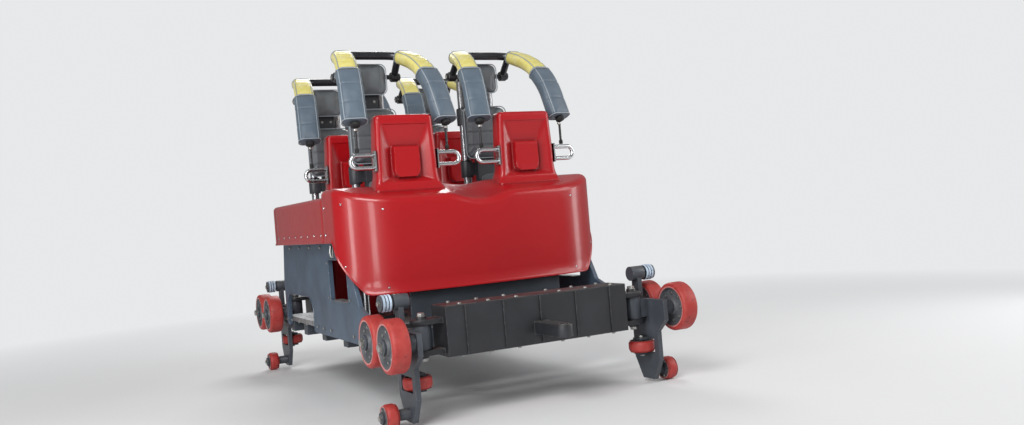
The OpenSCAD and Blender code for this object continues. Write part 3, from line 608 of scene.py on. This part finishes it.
def end_shell(name, node, y_end, bay_y, centre_y, power, lower, drops, top, top_r, ledge_steps):
    """A front or rear shell; the rear one is built as a front one and turned round."""
    points, normals = plan_points(y_end)
    centre = Vector((0.45, centre_y, 0))
    half = Vector((HALF_W - FLANGE_W - centre.x, centre_y - bay_y, 0))
    stations = []
    for p, n in zip(points, normals):
        q = bay_edge(p, centre, half, power)
        side = ramp((q.x - centre.x) / half.x)
        stations.append((p, n, q, lower(p.y), drops[0] + (drops[1] - drops[0]) * side))
    flipped = [(Vector((-p.x, p.y, 0)), Vector((-n.x, n.y, 0)), Vector((-q.x, q.y, 0)), zb, drop)
               for p, n, q, zb, drop in stations[:0:-1]]
    rows = moulding_rows(flipped + stations, top, top_r, ledge_steps)
    if node == "rear_shell":
        rows = [[Vector((-p.x, FACE_Y + REAR_Y - p.y, p.z)) for p in row] for row in rows]
    form = Form().grid(rows, 0)
    return thicken(form.piece(name, "root", [RED, INNER], "shell_red", [node]))


def front_lower(y):
    t = min(1, max(0, (y - LIFT_Y) / (LEVEL_Y - LIFT_Y)))
    return SKIRT_Z + (SILL_Z - SKIRT_Z) * t


def rear_lower(y):
    t = min(1, max(0, 1 - (y - FACE_Y + FACE_BULGE) / CORNER_RUN))
    return SILL_Z + 0.110 * t


def side_stations(side, y0, y1):
    count = 24
    ys = [y0 + (y1 - y0) * k / count for k in range(count + 1)]
    return [(Vector((side * HALF_W, y, 0)), X * side, Vector((side * (HALF_W - FLANGE_W), y, 0)), SILL_Z,
             COAMING_DROP - 0.012) for y in ys]


def make_shells():
    end_shell("shell_front_moulding", "front_shell", SPLIT_Y, FACE_Y + LEDGE_RUN, -0.35, 5, front_lower,
              (0.030, COWL_Z - LEDGE_Z + COAMING_DROP - 0.012), cowl, 0.032, 16)
    end_shell("shell_rear_moulding", "rear_shell", FACE_Y + REAR_Y - REAR_SPLIT_Y, FACE_Y + REAR_LEDGE,
              -0.54, 2.6, rear_lower, (0.060, COAMING_DROP - 0.012), level, 0.028, 6)
    form = Form()
    for side in (1, -1):
        rows = moulding_rows(side_stations(side, SPLIT_Y + SHELL_GAP, REAR_SPLIT_Y - SHELL_GAP))
        form.grid(rows, 0, flip=side < 0)
    thicken(form.piece("shell_side_mouldings", "root", [RED, INNER], "shell_red", ["side_shells"]))
    seals = Form()
    for side in (1, -1):
        for y in (SPLIT_Y, REAR_SPLIT_Y - SHELL_GAP):
            rows = moulding_rows(side_stations(side, y, y + SHELL_GAP))
            inset = [[p + Vector((-side * 0.004, 0, -0.003)) for p in row] for row in rows[3:]]
            seals.grid(inset, 0, flip=side < 0)
    made = seals.piece("shell_seals", "root", [RUBBER])
    thicken(made, 0.007)


def tower_depth(x, z):
    """How far the recess in a tower's face goes in at a point: a sloping top, slanted sides and a boss."""
    high, low, slope, deep = -0.052, TOWER_FOOT + 0.040, 0.118, 0.034
    boss_top, boss_low, boss_half = high - slope, -0.348, 0.078
    sides = min(1.0, max(0.0, (RECESS_HALF - abs(x)) / 0.066))
    down = 0.16 * ramp((high + 0.003 - z) / 0.006) + 0.84 * min(1.0, max(0.0, (high - z) / slope))
    up = min(1.0, max(0.0, (z - low) / 0.030))
    floor = deep * max(0.0, soft_min(soft_min(sides, down, 0.12), up, 0.12))
    narrow = boss_half - 0.050 * (1 - math.sqrt(max(0.0, 1 - max(0.0, (boss_low + 0.055 - z) / 0.055) ** 2)))
    inside = ramp((narrow - abs(x)) / 0.010 + 0.5) * ramp((boss_top - z) / 0.008 + 0.5)
    inside *= ramp((z - boss_low) / 0.012)
    crown = 0.004 + 0.006 * ramp((boss_top - 0.014 - z) / -0.014)
    return floor + (min(floor, crown) - floor) * inside


def tower_section(z, foot, edge_r, toe):
    """Half width, front and back of a tower at a height, with the top and the foot drawn round."""
    t = min(1, max(0, (z - foot) / TOWER_FLARE))
    half = TOWER_W / 2 - 0.011 * ramp((z + 0.27) / 0.27) + (TOWER_FOOT_W - TOWER_W) / 2 * (1 - t) ** 2.2
    front = 0.006 * ramp(t) - toe * (1 - min(1, max(0, (z - foot) / 0.045))) ** 2
    back = TOWER_FOOT_D + (TOWER_D - TOWER_FOOT_D) * (1 - (1 - t) ** 2.2)
    over = max(0, z + edge_r)
    inset = edge_r - math.sqrt(max(edge_r ** 2 - over ** 2, 0))
    return half - inset, front + inset * 0.9, back - inset


def tower(form, at, z0, toe):
    foot = TOWER_FOOT
    edge_r, corner = 0.020, 0.024
    xs = spread([s * x for s in (-1, 1) for x in (RECESS_HALF, 0.087, 0.083, 0.073, 0.03)], 0.003, 0.014)
    zs = spread([z0, foot, foot + 0.040, foot + 0.070, -0.348, -0.336, -0.178, -0.166, -0.055, -0.049,
                 -edge_r], 0.003, 0.014)
    zs += [-edge_r + edge_r * math.sin(math.radians(a)) for a in (20, 38, 54, 68, 80, 90)]
    rows = []
    for z in zs:
        half, front, back = tower_section(z, foot, edge_r, toe)
        r = min(corner, half * 0.5)
        row = [(x * min(1, (half - r) / 0.154), front + tower_depth(x, z)) for x in xs]
        for cx, cy, start in ((half - r, front + r, -90), (half - r, back - r, 0), (-half + r, back - r, 90),
                              (-half + r, front + r, 180)):
            angles = [math.radians(start + 15 * k) for k in range(7)]
            row += [(cx + r * math.cos(a), cy + r * math.sin(a)) for a in angles]
        rows.append([at + Vector((x, y, z)) for x, y in row])
    form.closed(rows)


def make_towers():
    for name, node, end, low, toe in (
            ("towers_front_moulding", "front_towers", -1, TOWER_FOOT - 0.034, 0.026),
            ("towers_rear_moulding", "rear_towers", 1, DECK_Z - TOWER_Z, 0.0)):
        form = Form()
        for _, row, at in CORNERS.values():
            if row == end:
                tower(form, at, low, toe)
        form.piece(name, "root", [RED], "shell_red", [node], sharp=50)


# Restraints

def leg_dir(slope):
    return Vector((math.cos(slope), -math.sin(slope)))


def leg_normal(slope):
    return Vector((math.sin(slope), math.cos(slope)))


# A leg in its own plane: how far forward and how high its points lie from the closed end
BEND_TRIM = BEND_R * math.tan((CHEST_SLOPE - SHOULDER_SLOPE) / 2)
KNEE = leg_dir(SHOULDER_SLOPE) * SHOULDER_LEN
LEG_END = KNEE + leg_dir(CHEST_SLOPE) * CHEST_LEN
BEND_START = KNEE - leg_dir(SHOULDER_SLOPE) * BEND_TRIM
BEND_STOP = KNEE + leg_dir(CHEST_SLOPE) * BEND_TRIM
BEND_MID = BEND_START - leg_normal(SHOULDER_SLOPE) * BEND_R
STRAIGHT, BEND_L = CHEST_LEN - BEND_TRIM, BEND_R * (CHEST_SLOPE - SHOULDER_SLOPE)


def leg_point(side, forward, height):
    """A point in a leg's own plane, in the stall's frame."""
    return Vector((side * (YOKE_W / 2 + forward * math.sin(SPLAY)), YOKE_SET - forward * math.cos(SPLAY),
                   YOKE_RISE + height))


def leg_at(along):
    """The leg's middle and its outward normal at a length from its lower end, both in its own plane."""
    slope = CHEST_SLOPE - (CHEST_SLOPE - SHOULDER_SLOPE) * min(1, max(0, (along - STRAIGHT) / BEND_L))
    normal = leg_normal(slope)
    if along < STRAIGHT:
        return LEG_END - leg_dir(CHEST_SLOPE) * along, normal
    if along < STRAIGHT + BEND_L:
        return BEND_MID + normal * BEND_R, normal
    return BEND_START - leg_dir(SHOULDER_SLOPE) * (along - STRAIGHT - BEND_L), normal


def leg_place(p):
    """The length along the leg and the height over its middle, for a point of the leg's own frame."""
    point = Vector((-p.y, p.z))
    away = point - BEND_MID
    slope = math.atan2(away.x, away.y)
    if slope > CHEST_SLOPE:
        off = point - BEND_STOP
        return STRAIGHT - off.dot(leg_dir(CHEST_SLOPE)), off.dot(leg_normal(CHEST_SLOPE))
    if slope < SHOULDER_SLOPE:
        off = point - BEND_START
        return STRAIGHT + BEND_L - off.dot(leg_dir(SHOULDER_SLOPE)), off.dot(leg_normal(SHOULDER_SLOPE))
    return STRAIGHT + BEND_R * (CHEST_SLOPE - slope), away.length - BEND_R


def restraint(name, at):
    form = Form()
    paint_slot, zinc_slot, rubber_slot = 0, 1, 2
    stations = [STRAIGHT * k / 4 for k in range(4)] + [STRAIGHT + BEND_L * k / 20 for k in range(21)]
    legs = [[leg_point(s, *leg_at(t)[0]) for t in stations] for s in (-1, 1)]
    yokes = [leg_point(s, 0, 0) for s in (-1, 1)]
    closed = arc_path([legs[0][-1], yokes[0], yokes[1], legs[1][-1]], [0.105, 0.105], 12)
    form.tube([at + p for p in legs[0][:-1] + closed + legs[1][-2::-1]], BAR_D / 2, paint_slot, 28)
    for s, leg in zip((-1, 1), legs):
        form.lathe([(0, 0.010), (0.012, 0.010), (0.019, 0.007), (0.0255, 0.003), (0.0255, -0.012),
                    (0.024, -0.014)], at + leg[0], (leg[0] - leg[1]).normalized(), 24, rubber_slot)
        rod = leg_point(s, LEG_END.x - 0.010, 0)
        top, foot = YOKE_RISE + LEG_END.y + 0.012, -0.194
        heights = foot + 0.010, (top + foot) / 2, top
        form.tube([at + Vector((rod.x, rod.y, z)) for z in heights], 0.007, paint_slot, 14)
        form.lathe([(0, 0), (0.010, 0), (0.0115, 0.004), (0.0115, 0.020), (0.007, 0.026)],
                   at + Vector((rod.x, rod.y, foot)), Z, 18, rubber_slot)
        form.lathe([(0.0075, 0), (0.013, 0.002), (0.013, 0.012), (0.0075, 0.014)],
                   at + Vector((rod.x, rod.y, top - 0.040)), Z, 18, zinc_slot)
        link_top = Vector((s * (YOKE_W / 2 - 0.006), YOKE_SET - 0.012, YOKE_RISE - 0.012))
        hinge = Vector((s * YOKE_W / 2, HINGE.y, HINGE.z))
        form.tube([at + link_top, at + (link_top + hinge) / 2, at + hinge], 0.021, paint_slot, 20)
        form.lathe([(0.0142, -0.022), (0.027, -0.022), (0.030, -0.019), (0.030, 0.019), (0.027, 0.022),
                    (0.0142, 0.022)], at + hinge, X, 32)
        form.lathe([(0.0142, 0), (0.0205, 0), (0.0215, 0.0012), (0.0205, 0.0024), (0.0142, 0.0024)],
                   at + hinge + X * s * 0.0215, X * s, 24, zinc_slot)
    form.piece("restraint_frame_" + name, "restraint_" + name, [GLOSS_BLACK, ZINC, RUBBER], "restraint_paint",
               ["restraint_" + name])


# Soft pieces

def bake(made):
    """Applies the modifiers of an object to its mesh."""
    bpy.context.view_layer.update()
    solved = bpy.data.meshes.new_from_object(made.evaluated_get(bpy.context.evaluated_depsgraph_get()))
    made.modifiers.clear()
    made.data = solved


def swell(made, pin, cap):
    """Blows an object up with air pressure. Pinned points stay, and no point moves by more than the cap."""
    rest = [v.co.copy() for v in made.data.vertices]
    group = made.vertex_groups.new(name="pin")
    group.add([k for k, p in enumerate(rest) if pin(p)], 1.0, "REPLACE")
    cloth = made.modifiers.new("cloth", "CLOTH").settings
    cloth.quality, cloth.vertex_group_mass = 4, "pin"
    cloth.use_pressure, cloth.uniform_pressure_force = True, 4.0
    cloth.effector_weights.gravity = 0
    scene = bpy.context.scene
    for k in range(1, 21):
        scene.frame_set(k)
    bake(made)
    scene.frame_set(1)
    for v, p in zip(made.data.vertices, rest):
        move = v.co - p
        if move.length > cap:
            v.co = p + move.normalized() * cap


def soft_mesh(name, form, cloth, pin, cap, relief):
    """Remeshes and swells a closed form, evens it out and moves each point along its normal by a relief."""
    made = form.piece(name, None, [cloth, PIPING], sharp=180)
    remesh = made.modifiers.new("remesh", "REMESH")
    remesh.mode, remesh.voxel_size = "VOXEL", 0.005
    bake(made)
    swell(made, pin, cap)
    mesh = made.data
    bpy.data.objects.remove(made)

    def even_out(work):
        for _ in range(2):
            bmesh.ops.smooth_vert(work, verts=work.verts, factor=0.5, use_axis_x=True, use_axis_y=True,
                                  use_axis_z=True)
    rework(mesh, even_out)
    mesh.update()
    normals = [v.normal.copy() for v in mesh.vertices]
    for v, n in zip(mesh.vertices, normals):
        v.co += n * relief(v.co)
    mesh.polygons.foreach_set("use_smooth", [True] * len(mesh.polygons))
    mesh.update()
    return mesh


def surface_path(mesh, rays):
    """Drops points onto a mesh from outside, each along its own outward direction."""
    tree = BVHTree.FromPolygons([v.co for v in mesh.vertices], [list(p.vertices) for p in mesh.polygons])
    hits = [tree.ray_cast(p + d * 0.12, -d)[0] for p, d in rays]
    return [hit for hit in hits if hit is not None]


def with_trims(mesh, trims):
    """Adds a form's faces to a mesh."""
    def add(work):
        points = [work.verts.new(p) for p in trims.points]
        for face, slot in zip(trims.faces, trims.slots):
            made = work.faces.new([points[k] for k in face])
            made.material_index, made.smooth = slot, True
    rework(mesh, add)
    return mesh


def leg_pad(name, start, stop, half_w, half_t, corner, cloth, seams, ribs):
    """A soft sleeve round a leg between two lengths from its lower end, in the leg's own frame, -Y forward.
    Piping runs along its front corners and round its ends; ribs are sewn across it."""
    round_end = 0.013

    def ring(along, inset):
        (f, h), (nf, nh) = leg_at(along)
        return [Vector((x, -f - nf * y, h + nh * y))
                for x, y in round_rect(half_w - inset, half_t - inset, corner - inset * 0.7, 6)]

    def groove(p):
        along, over = leg_place(p)
        near = min(math.hypot(abs(p.x) - half_w * x, over - half_t * y) for x, y in seams)
        sewn = sum(math.exp(-((along - r) / 0.0045) ** 2) for r in ribs) * ramp(over / half_t + 0.7)
        return -0.0024 * math.exp(-(near / 0.007) ** 2) - 0.0034 * sewn

    ends = ((0.0, 0.014), (0.004, 0.005), (round_end, 0.0))
    length = stop - start
    rows = [ring(start + a, i) for a, i in ends]
    rows += [ring(start + round_end + (length - 2 * round_end) * k / 24, 0.0) for k in range(1, 24)]
    rows += [ring(stop - a, i) for a, i in ends[::-1]]
    mesh = soft_mesh(name, Form().closed(rows, flip=True), cloth,
                     lambda p: not start + 0.005 < leg_place(p)[0] < stop - 0.005, 0.006, groove)
    trims, count = Form(), 36
    for s in (1, -1):
        rays = []
        for k in range(count + 1):
            (f, h), (nf, nh) = leg_at(start + 0.005 + (length - 0.010) * k / count)
            d = Vector((s * half_w * 0.80, -nf * half_t * 0.80, nh * half_t * 0.80)).normalized()
            rays.append((Vector((0, -f, h)), d))
        trims.tube(surface_path(mesh, rays), PIPING_R, 1, 10)
    for along in (start + 0.004, stop - 0.004):
        trims.loop(ring(along, 0.0015), PIPING_R)
    return with_trims(mesh, trims)


def cushion(name, form, pin, cap, relief, piping, radius=PIPING_R):
    """A grey soft piece with piping along a closed line."""
    mesh = soft_mesh(name, form, GREY_VINYL, pin, cap, relief)
    return with_trims(mesh, Form().loop(piping, radius, 10))


def slab(half_w, half_h, r, front):
    """A cushion block in X and Z that reaches from the origin to its front, its front edges rounded."""
    rows = []
    for k, inset in ((0, 0.004), (0.06, 0), (0.45, 0), (0.78, 0.002), (0.92, 0.0063), (1.0, 0.014)):
        rows.append([(x, front * k, z) for x, z in round_rect(half_w - inset, half_h - inset, r, 6)])
    return Form().closed(rows, flip=True)


def slab_edge(half_w, half_h, r, y):
    return [Vector((x, y, z)) for x, z in round_rect(half_w + 0.0005, half_h + 0.0005, r, 8)]


def back_cushion():
    size = 0.144, 0.159, 0.038

    def channels(p):
        front = ramp((-p.y - 0.030) / 0.012) * ramp((0.135 - abs(p.x)) / 0.015)
        return -0.0065 * front * sum(math.exp(-((p.z - z) / 0.0055) ** 2) for z in (-0.080, 0.0, 0.080))
    return cushion("back_cushion", slab(*size, -0.050), lambda p: p.y > -0.010, 0.011, channels,
                   slab_edge(*size, -0.0445), 0.0034)


def headrest():
    size = 0.104, 0.089, 0.036

    def hollow(p):
        front = ramp((-p.y - 0.024) / 0.012)
        seam = math.exp(-((abs(p.x) - 0.066) / 0.0045) ** 2) * ramp((0.075 - abs(p.z)) / 0.012)
        return -0.006 * front * math.exp(-(p.x / 0.045) ** 2) - 0.004 * front * seam
    return cushion("headrest", slab(*size, -0.042), lambda p: p.y > -0.008, 0.010, hollow,
                   slab_edge(*size, -0.037))


def saddle():
    """A saddle along Y, narrow at its nose (-Y), standing on the origin."""
    outline = []
    for k in range(40):
        a = 2 * math.pi * k / 40
        y = 0.104 * math.sin(a)
        wide = 0.046 + 0.036 * ramp((y + 0.04) / 0.12)
        outline.append((wide * math.copysign(abs(math.cos(a)) ** 0.75, math.cos(a)), y))
    rows = []
    for z, size in ((0, 0.88), (0.006, 0.95), (0.018, 1.0), (0.034, 1.0), (0.045, 0.96), (0.052, 0.86)):
        rows.append([(x * size, y * size, z + 0.004 * ramp(y / 0.1)) for x, y in outline])

    def channel(p):
        fade = ramp((p.z - 0.036) / 0.01) * ramp((0.075 - abs(p.y)) / 0.02)
        return -0.004 * math.exp(-(p.x / 0.008) ** 2) * fade
    return cushion("saddle", Form().closed(rows), lambda p: p.z < 0.008, 0.008, channel,
                   [Vector((x, y, 0.020)) for x, y in outline])


def make_seats():
    low = STRAIGHT + BEND_L * PAD_SHARE
    pad = leg_pad("chest_pad", PAD_GAP + 0.003, low - 0.001, 0.0695, 0.0445, 0.034, SLATE,
                  ((0.86, 0.86), (0.86, -0.86)), [PAD_GAP + (low - PAD_GAP) * k / 3 for k in (1, 2)])
    sleeve = leg_pad("shoulder_sleeve", low + 0.003, STRAIGHT + BEND_L + SLEEVE_L - 0.001, 0.0615, 0.0395,
                     0.035, YELLOW, ((0.0, -1.0),), [low + 0.07, low + 0.14, low + 0.21])
    back, head, seat = back_cushion(), headrest(), saddle()
    for name, (_, _, at) in CORNERS.items():
        restraint(name, at)
        for s, tag in ((-1, "r"), (1, "l")):
            place = Matrix.Translation(at + leg_point(s, 0, 0)) @ Matrix.Rotation(s * SPLAY, 4, "Z")
            for mesh, label in ((pad, "chest_pad_"), (sleeve, "shoulder_sleeve_")):
                show(mesh, f"{label}{name}_{tag}", "restraint_" + name,
                               ["pads_" + name], place)
        for mesh, label, offset in ((back, "back_cushion_", (0, SPINE_FRONT - 0.001, -0.060)),
                                    (head, "headrest_", (0, SPINE_FRONT - 0.001, 0.277)),
                                    (seat, "saddle_", (0, SPINE_FRONT - 0.130, SADDLE_DZ - 0.0597))):
            show(mesh, label + name, "carriage_" + name, ["cushions_" + name],
                           Matrix.Translation(at + Vector(offset)))


# Wheels

def wheel(name, node, at, axis, d, w, pin, rim_r, dish, bolts):
    """A hub, a rim and a tyre turned about the axis, with bolts on both faces of the hub."""
    r, hub, half, at, axis = d / 2, pin / 2 + 0.016, w / 2, Vector(at), Vector(axis)
    floor = half - dish
    outer = [(pin / 2 + 0.0006, half), (hub - 0.004, half), (hub, half - 0.004), (hub + 0.004, floor + 0.003),
             (hub + 0.010, floor), (rim_r - 0.010, floor), (rim_r - 0.005, floor + 0.004),
             (rim_r - 0.002, half - 0.003), (rim_r, half - 0.001), (rim_r + 0.001, half),
             (rim_r + 0.007, half + 0.0004), (r - 0.012, half - 0.001), (r - 0.006, half - 0.004),
             (r - 0.002, half - 0.009), (r, half - 0.016)]
    slots = [0] * 8 + [1] * 2 + [2] * 4
    form = Form().lathe(outer + [(a, -b) for a, b in outer[::-1]] + [outer[0]], at, axis, 64,
                        slots + [2] + slots[::-1] + [0])
    across = axis.orthogonal().normalized()
    for k in range(bolts):
        out = Matrix.Rotation(2 * math.pi * k / bolts, 3, axis) @ across
        for s in (-1, 1):
            form.bolt(at + out * (hub + rim_r) / 2 + axis * s * (floor - 0.0005), axis * s, 0.0075, 3)
    form.piece("tyre_and_hub_" + name, node, [HUB, RIM_PINK, URETHANE, ZINC], "wheel_urethane", [node])


def make_wheels():
    road, guide = (0.250, 0.088, 0.050, 0.099, 0.016, 8), (0.140, 0.058, 0.030, 0.056, 0.008, 5)
    up = 0.120, 0.060, 0.030, 0.048, 0.008, 5
    for name, (side, end, _) in CORNERS.items():
        y = end * AXLE_Y
        for tag, along in (("a", -1), ("b", 1)):
            node = f"road_wheel_{name}_{tag}"
            wheel(node, node, (side * RAIL_X, y + along * ROAD_PITCH / 2, ROAD_Z), X, *road)
        wheel("guide_" + name, "guide_wheel_" + name, (side * GUIDE_X, y, GUIDE_Z), Z, *guide)
        wheel("up_" + name, "up_wheel_" + name, (side * RAIL_X, y, UP_Z), X, *up)


# Chassis and fittings

def make_carriers():
    nut = 0.014
    for name, (side, end, _) in CORNERS.items():
        dress("carrier_" + name, CARRIER, 0.0025)
        y, form = end * AXLE_Y, Form()
        for along in (-1, 1):
            form.bolt((side * (RAIL_X + 0.044 + nut), y + along * ROAD_PITCH / 2, ROAD_Z), X * side, 0.022)
        form.bolt((side * (RAIL_X + 0.030 + nut), y, UP_Z), X * side, 0.014)
        for up in (1, -1):
            form.bolt((side * GUIDE_X, y, GUIDE_Z + up * 0.043), Z * up, 0.014)
        for dy, dz in ((-0.126, 0.025), (0.126, 0.025), (-0.063, -0.070), (0.063, -0.070)):
            form.bolt((side * 0.685, y + dy, ROAD_Z + dz), X * side, 0.010)
        buffer_y, buffer_z = y + 0.060, ROAD_Z + 0.178
        for x in (0.722, 0.738, 0.754):
            form.lathe([(0.037, -0.006), (0.0405, -0.0045), (0.0415, 0), (0.0405, 0.0045), (0.037, 0.006)],
                       (side * x, buffer_y, buffer_z), X, 32, 1)
        form.bolt((side * 0.769, buffer_y, buffer_z), X * side, 0.014)
        form.piece("carrier_fittings_" + name, "carrier_" + name, [ZINC, BUFFER], "carrier_paint")


def make_axles():
    for node, end in (("front_axle", -1), ("rear_axle", 1)):
        dress(node, AXLE, 0.004)
        form, y = Form(), end * AXLE_Y
        for side in (-1, 1):
            for z, up in ((BEAM_LOW, -Z), (BEAM_HIGH, Z)):
                for dy, x in product((-0.07, 0.07), (0.12, 0.27, 0.42)):
                    form.bolt((side * x, y + dy, z), up, 0.010)
            for z, up in ((0.304, -Z), (0.502, Z)):
                form.bolt((side * KING_X, y, z), up, 0.020)
        for x, face in product((-0.40, -0.20, 0.0, 0.20, 0.40), (-0.090, 0.090)):
            form.box((x - 0.004, y + face - 0.006, BEAM_LOW + 0.006),
                     (x + 0.004, y + face + 0.006, BEAM_HIGH - 0.006), 1, 0.002)
        eye = Vector((0, y + end * 0.310, 0.353))
        form.lathe([(0.0205, -0.001), (0.0265, -0.001), (0.0265, 0.061), (0.0205, 0.061)], eye, Z, 32)
        form.piece("axle_fittings_" + node, "root", [ZINC, AXLE], "axle_paint")


def make_side_frames():
    dress("side_frames", FRAME_BLUE)
    dress("ladder_frame", FRAME)
    dress("mid_bulkhead", RED)
    form = Form()
    for side in (-1, 1):
        face, inner = side * FRAME_X, side * (FRAME_X - 0.060)
        hole = round_rect(STEP_HALF + 0.005, 0.118, 0.012)
        form.loop([Vector((face, STEP_Y + y, 0.658 + z)) for y, z in hole], 0.0045)
        arch = [(face, y, z) for y, z in ((0.212, 0.340), (0.212, 0.546), (0.893, 0.546), (0.893, 0.340))]
        form.tube(arc_path(arch, [0.112, 0.112], 10), 0.0045, 1, 8)
        for z, ys in ((0.372, (-0.88, -0.76, -0.60, -0.16, 0.0, 0.14, 0.40, 0.60, 0.80, 0.93)),
                      (0.845, (-0.30, -0.05, 0.20, 0.45, 0.70))):
            for y in ys:
                form.bolt((face, y, z), X * side, 0.009)
        for y, z in product((STEP_Y - 0.200, STEP_Y + 0.200), (0.560, 0.755)):
            form.bolt((face, y, z), X * side, 0.0075)
        form.box((min(face, inner), STEP_Y - STEP_HALF, 0.5435),
                 (max(face, inner), STEP_Y + STEP_HALF, 0.548), 2, 0.001)
        for y in (STEP_Y - 0.065, STEP_Y + 0.065):
            latch(form, Vector((face, y, 0.815)), side)
    form.piece("frame_fittings", "root", [ZINC, FRAME_BLUE, CHEQUER], "frame_paint")


def latch(form, at, side):
    """A latch: a plate with two screws and a bent lever."""
    low, high = at + Vector((0, -0.016, -0.030)), at + Vector((side * 0.005, 0.016, 0.028))
    form.box([min(a, b) for a, b in zip(low, high)], [max(a, b) for a, b in zip(low, high)], 0, 0.002)
    lever = (0.008, -0.026), (0.015, 0), (0.009, 0.036)
    form.tube([at + Vector((side * x, 0, z)) for x, z in lever], 0.006, 0, 10)
    for y in (-0.009, 0.009):
        form.screw(at + Vector((side * 0.005, y, -0.020)), X * side, 0.0035)


def make_deck():
    paint("floor_deck", CHEQUER)
    form, pitch = Form(), 0.034
    faces = (0, 1, 4), (1, 2, 5), (1, 5, 4), (2, 3, 5), (3, 0, 4), (3, 4, 5)
    for i, j in product(range(-20, 21), range(44)):
        x, y = i * pitch, -0.466 + j * pitch
        if abs(x) > 0.69 or y > 1.01:
            continue
        turn = math.radians(45 if (i + j) % 2 else -45)
        along = Vector((math.cos(turn), math.sin(turn), 0))
        wide = Vector((-along.y, along.x, 0))
        at, k = Vector((x, y, DECK_Z)), len(form.points)
        form.points += [at - along * 0.0125, at - wide * 0.0028, at + along * 0.0125, at + wide * 0.0028,
                        at - along * 0.006 + Z * 0.0016, at + along * 0.006 + Z * 0.0016]
        form.faces += [[k + n for n in face] for face in faces]
        form.slots += [0] * len(faces)
    form.piece("deck_tread", "root", [CHEQUER], "deck_plate", sharp=20)


def make_stalls():
    dress("slide_posts", POST_STEEL, 0.002)
    root = Form()
    foot = DECK_Z + 0.016
    for name, (_, _, at) in CORNERS.items():
        dress("carriage_" + name, CARRIAGE, 0.0025)
        for x, dy in product((-0.128, 0.128), (-0.030, 0.030)):
            root.bolt((at.x + x, at.y + POST_DY + dy, foot), Z, 0.010)
        rack_y = at.y + POST_DY + 0.010
        root.box((at.x - 0.014, rack_y, foot - 0.001), (at.x + 0.014, rack_y + 0.006, 1.806), 1)
        for k in range(34):
            z = foot + 0.55 + 0.025 * k
            root.box((at.x - 0.012, rack_y + 0.004, z), (at.x + 0.012, rack_y + 0.013, z + 0.011), 1, 0.002)
        for x in (-1, 1):
            root.bolt((at.x + x * POST_GAP / 2, at.y + POST_DY, 1.830), Z, 0.014)
        form = Form()
        for z in (-0.330, 0.0):
            for x in (-1, 1):
                for up in (0.018, 0.082):
                    form.bolt(at + Vector((x * (POST_GAP / 2), POST_DY + 0.038, z + up)), Y, 0.007)
                form.lathe([(0.0265, 0), (0.034, 0), (0.036, 0.002), (0.036, 0.006), (0.0265, 0.007)],
                           at + Vector((x * POST_GAP / 2, POST_DY, z + 0.100)), Z, 32, 1)
            for x in (-0.03, 0.03):
                form.bolt(at + Vector((x, SPINE_FRONT - 0.0005, z + 0.15)), -Y, 0.008)
        for x in (-1, 1):
            form.bolt(at + Vector((x * 0.2042, HINGE.y, HINGE.z)), X * x, 0.014)
        form.piece("carriage_fittings_" + name, "carriage_" + name, [ZINC, RUBBER], "carriage_paint")
    root.piece("stall_fittings", "root", [ZINC, POST_STEEL], "post_steel")


def make_grips():
    for node in ("front_grips", "rear_grips"):
        paint(node, POLISHED)
    form = Form()
    spots = product(CORNERS.values(), (-1, 1), (GRIP_HIGH, GRIP_LOW), (-0.017, 0.017), (-0.013, 0.013))
    for (_, _, at), x, z, dy, dz in spots:
        form.screw(at + Vector((x * (TOWER_W / 2 + 0.008), TOWER_D / 4 + dy, z + dz)), X * x, 0.0042)
    form.piece("grip_screws", "root", [ZINC], "grip_steel")


def make_trim():
    """Screws along the shells' lower edges and ledges, and on the front corners."""
    form = Form()
    points, normals = plan_points(SPLIT_Y)
    for side in (-1, 1):
        for y in [-0.30 + 0.15 * k for k in range(8)]:
            form.screw((side * (HALF_W + 0.0002), y, SILL_Z + 0.045), X * side, 0.007)
            form.screw((side * (HALF_W - 0.095), y, LEDGE_Z), Z, 0.006)
        for k in (52, 60):
            p, n = (Vector((v.x * side, v.y, 0)) for v in (points[k], normals[k]))
            for z in (front_lower(p.y) + 0.034, cowl(p.x, p.y) - 0.065):
                form.screw(p + Z * z, n, 0.006)
        for z in (SILL_Z + 0.045, LEDGE_Z - 0.060):
            form.screw((side * HALF_W, SPLIT_Y - 0.030, z), X * side, 0.008)
    form.piece("shell_screws", "root", [POLISHED], "shell_red")


# Stage

def make_stage():
    background = (0.80, 0.81, 0.82)
    floor = Form().lathe([(0, 0), (6, 0), (20, 0), (60, 0)], (0, 0, 0), Z, 64)
    made = floor.piece("floor", None, [floor_paint(background)])
    make_world(background, 0.30)
    make_light("key", (-3.6, -4.6, 4.6), (0, -0.2, 0.8), (2.6, 2.6), 280)
    make_light("strip", (-5.0, -2.6, 1.5), (-0.4, -0.6, 0.9), (0.6, 2.4), 60)
    make_light("corner", (-4.0, -5.4, 1.3), (-0.62, -0.75, 0.9), (0.7, 1.8), 45)
    make_light("far_corner", (4.9, -1.6, 1.3), (0.65, -0.72, 0.9), (0.8, 1.8), 26)
    make_light("fill", (4.4, -3.4, 3.2), (0, 0, 0.9), (3.0, 3.0), 110)
    make_light("back", (1.6, 5.0, 4.2), (0, 0.4, 1.0), (3.0, 2.0), 170)
    bpy.context.scene.view_settings.view_transform = "Standard"


make_camera()
make_stage()
make_shells()
make_towers()
make_seats()
make_wheels()
make_carriers()
make_axles()
make_side_frames()
make_deck()
make_stalls()
make_grips()
make_trim()
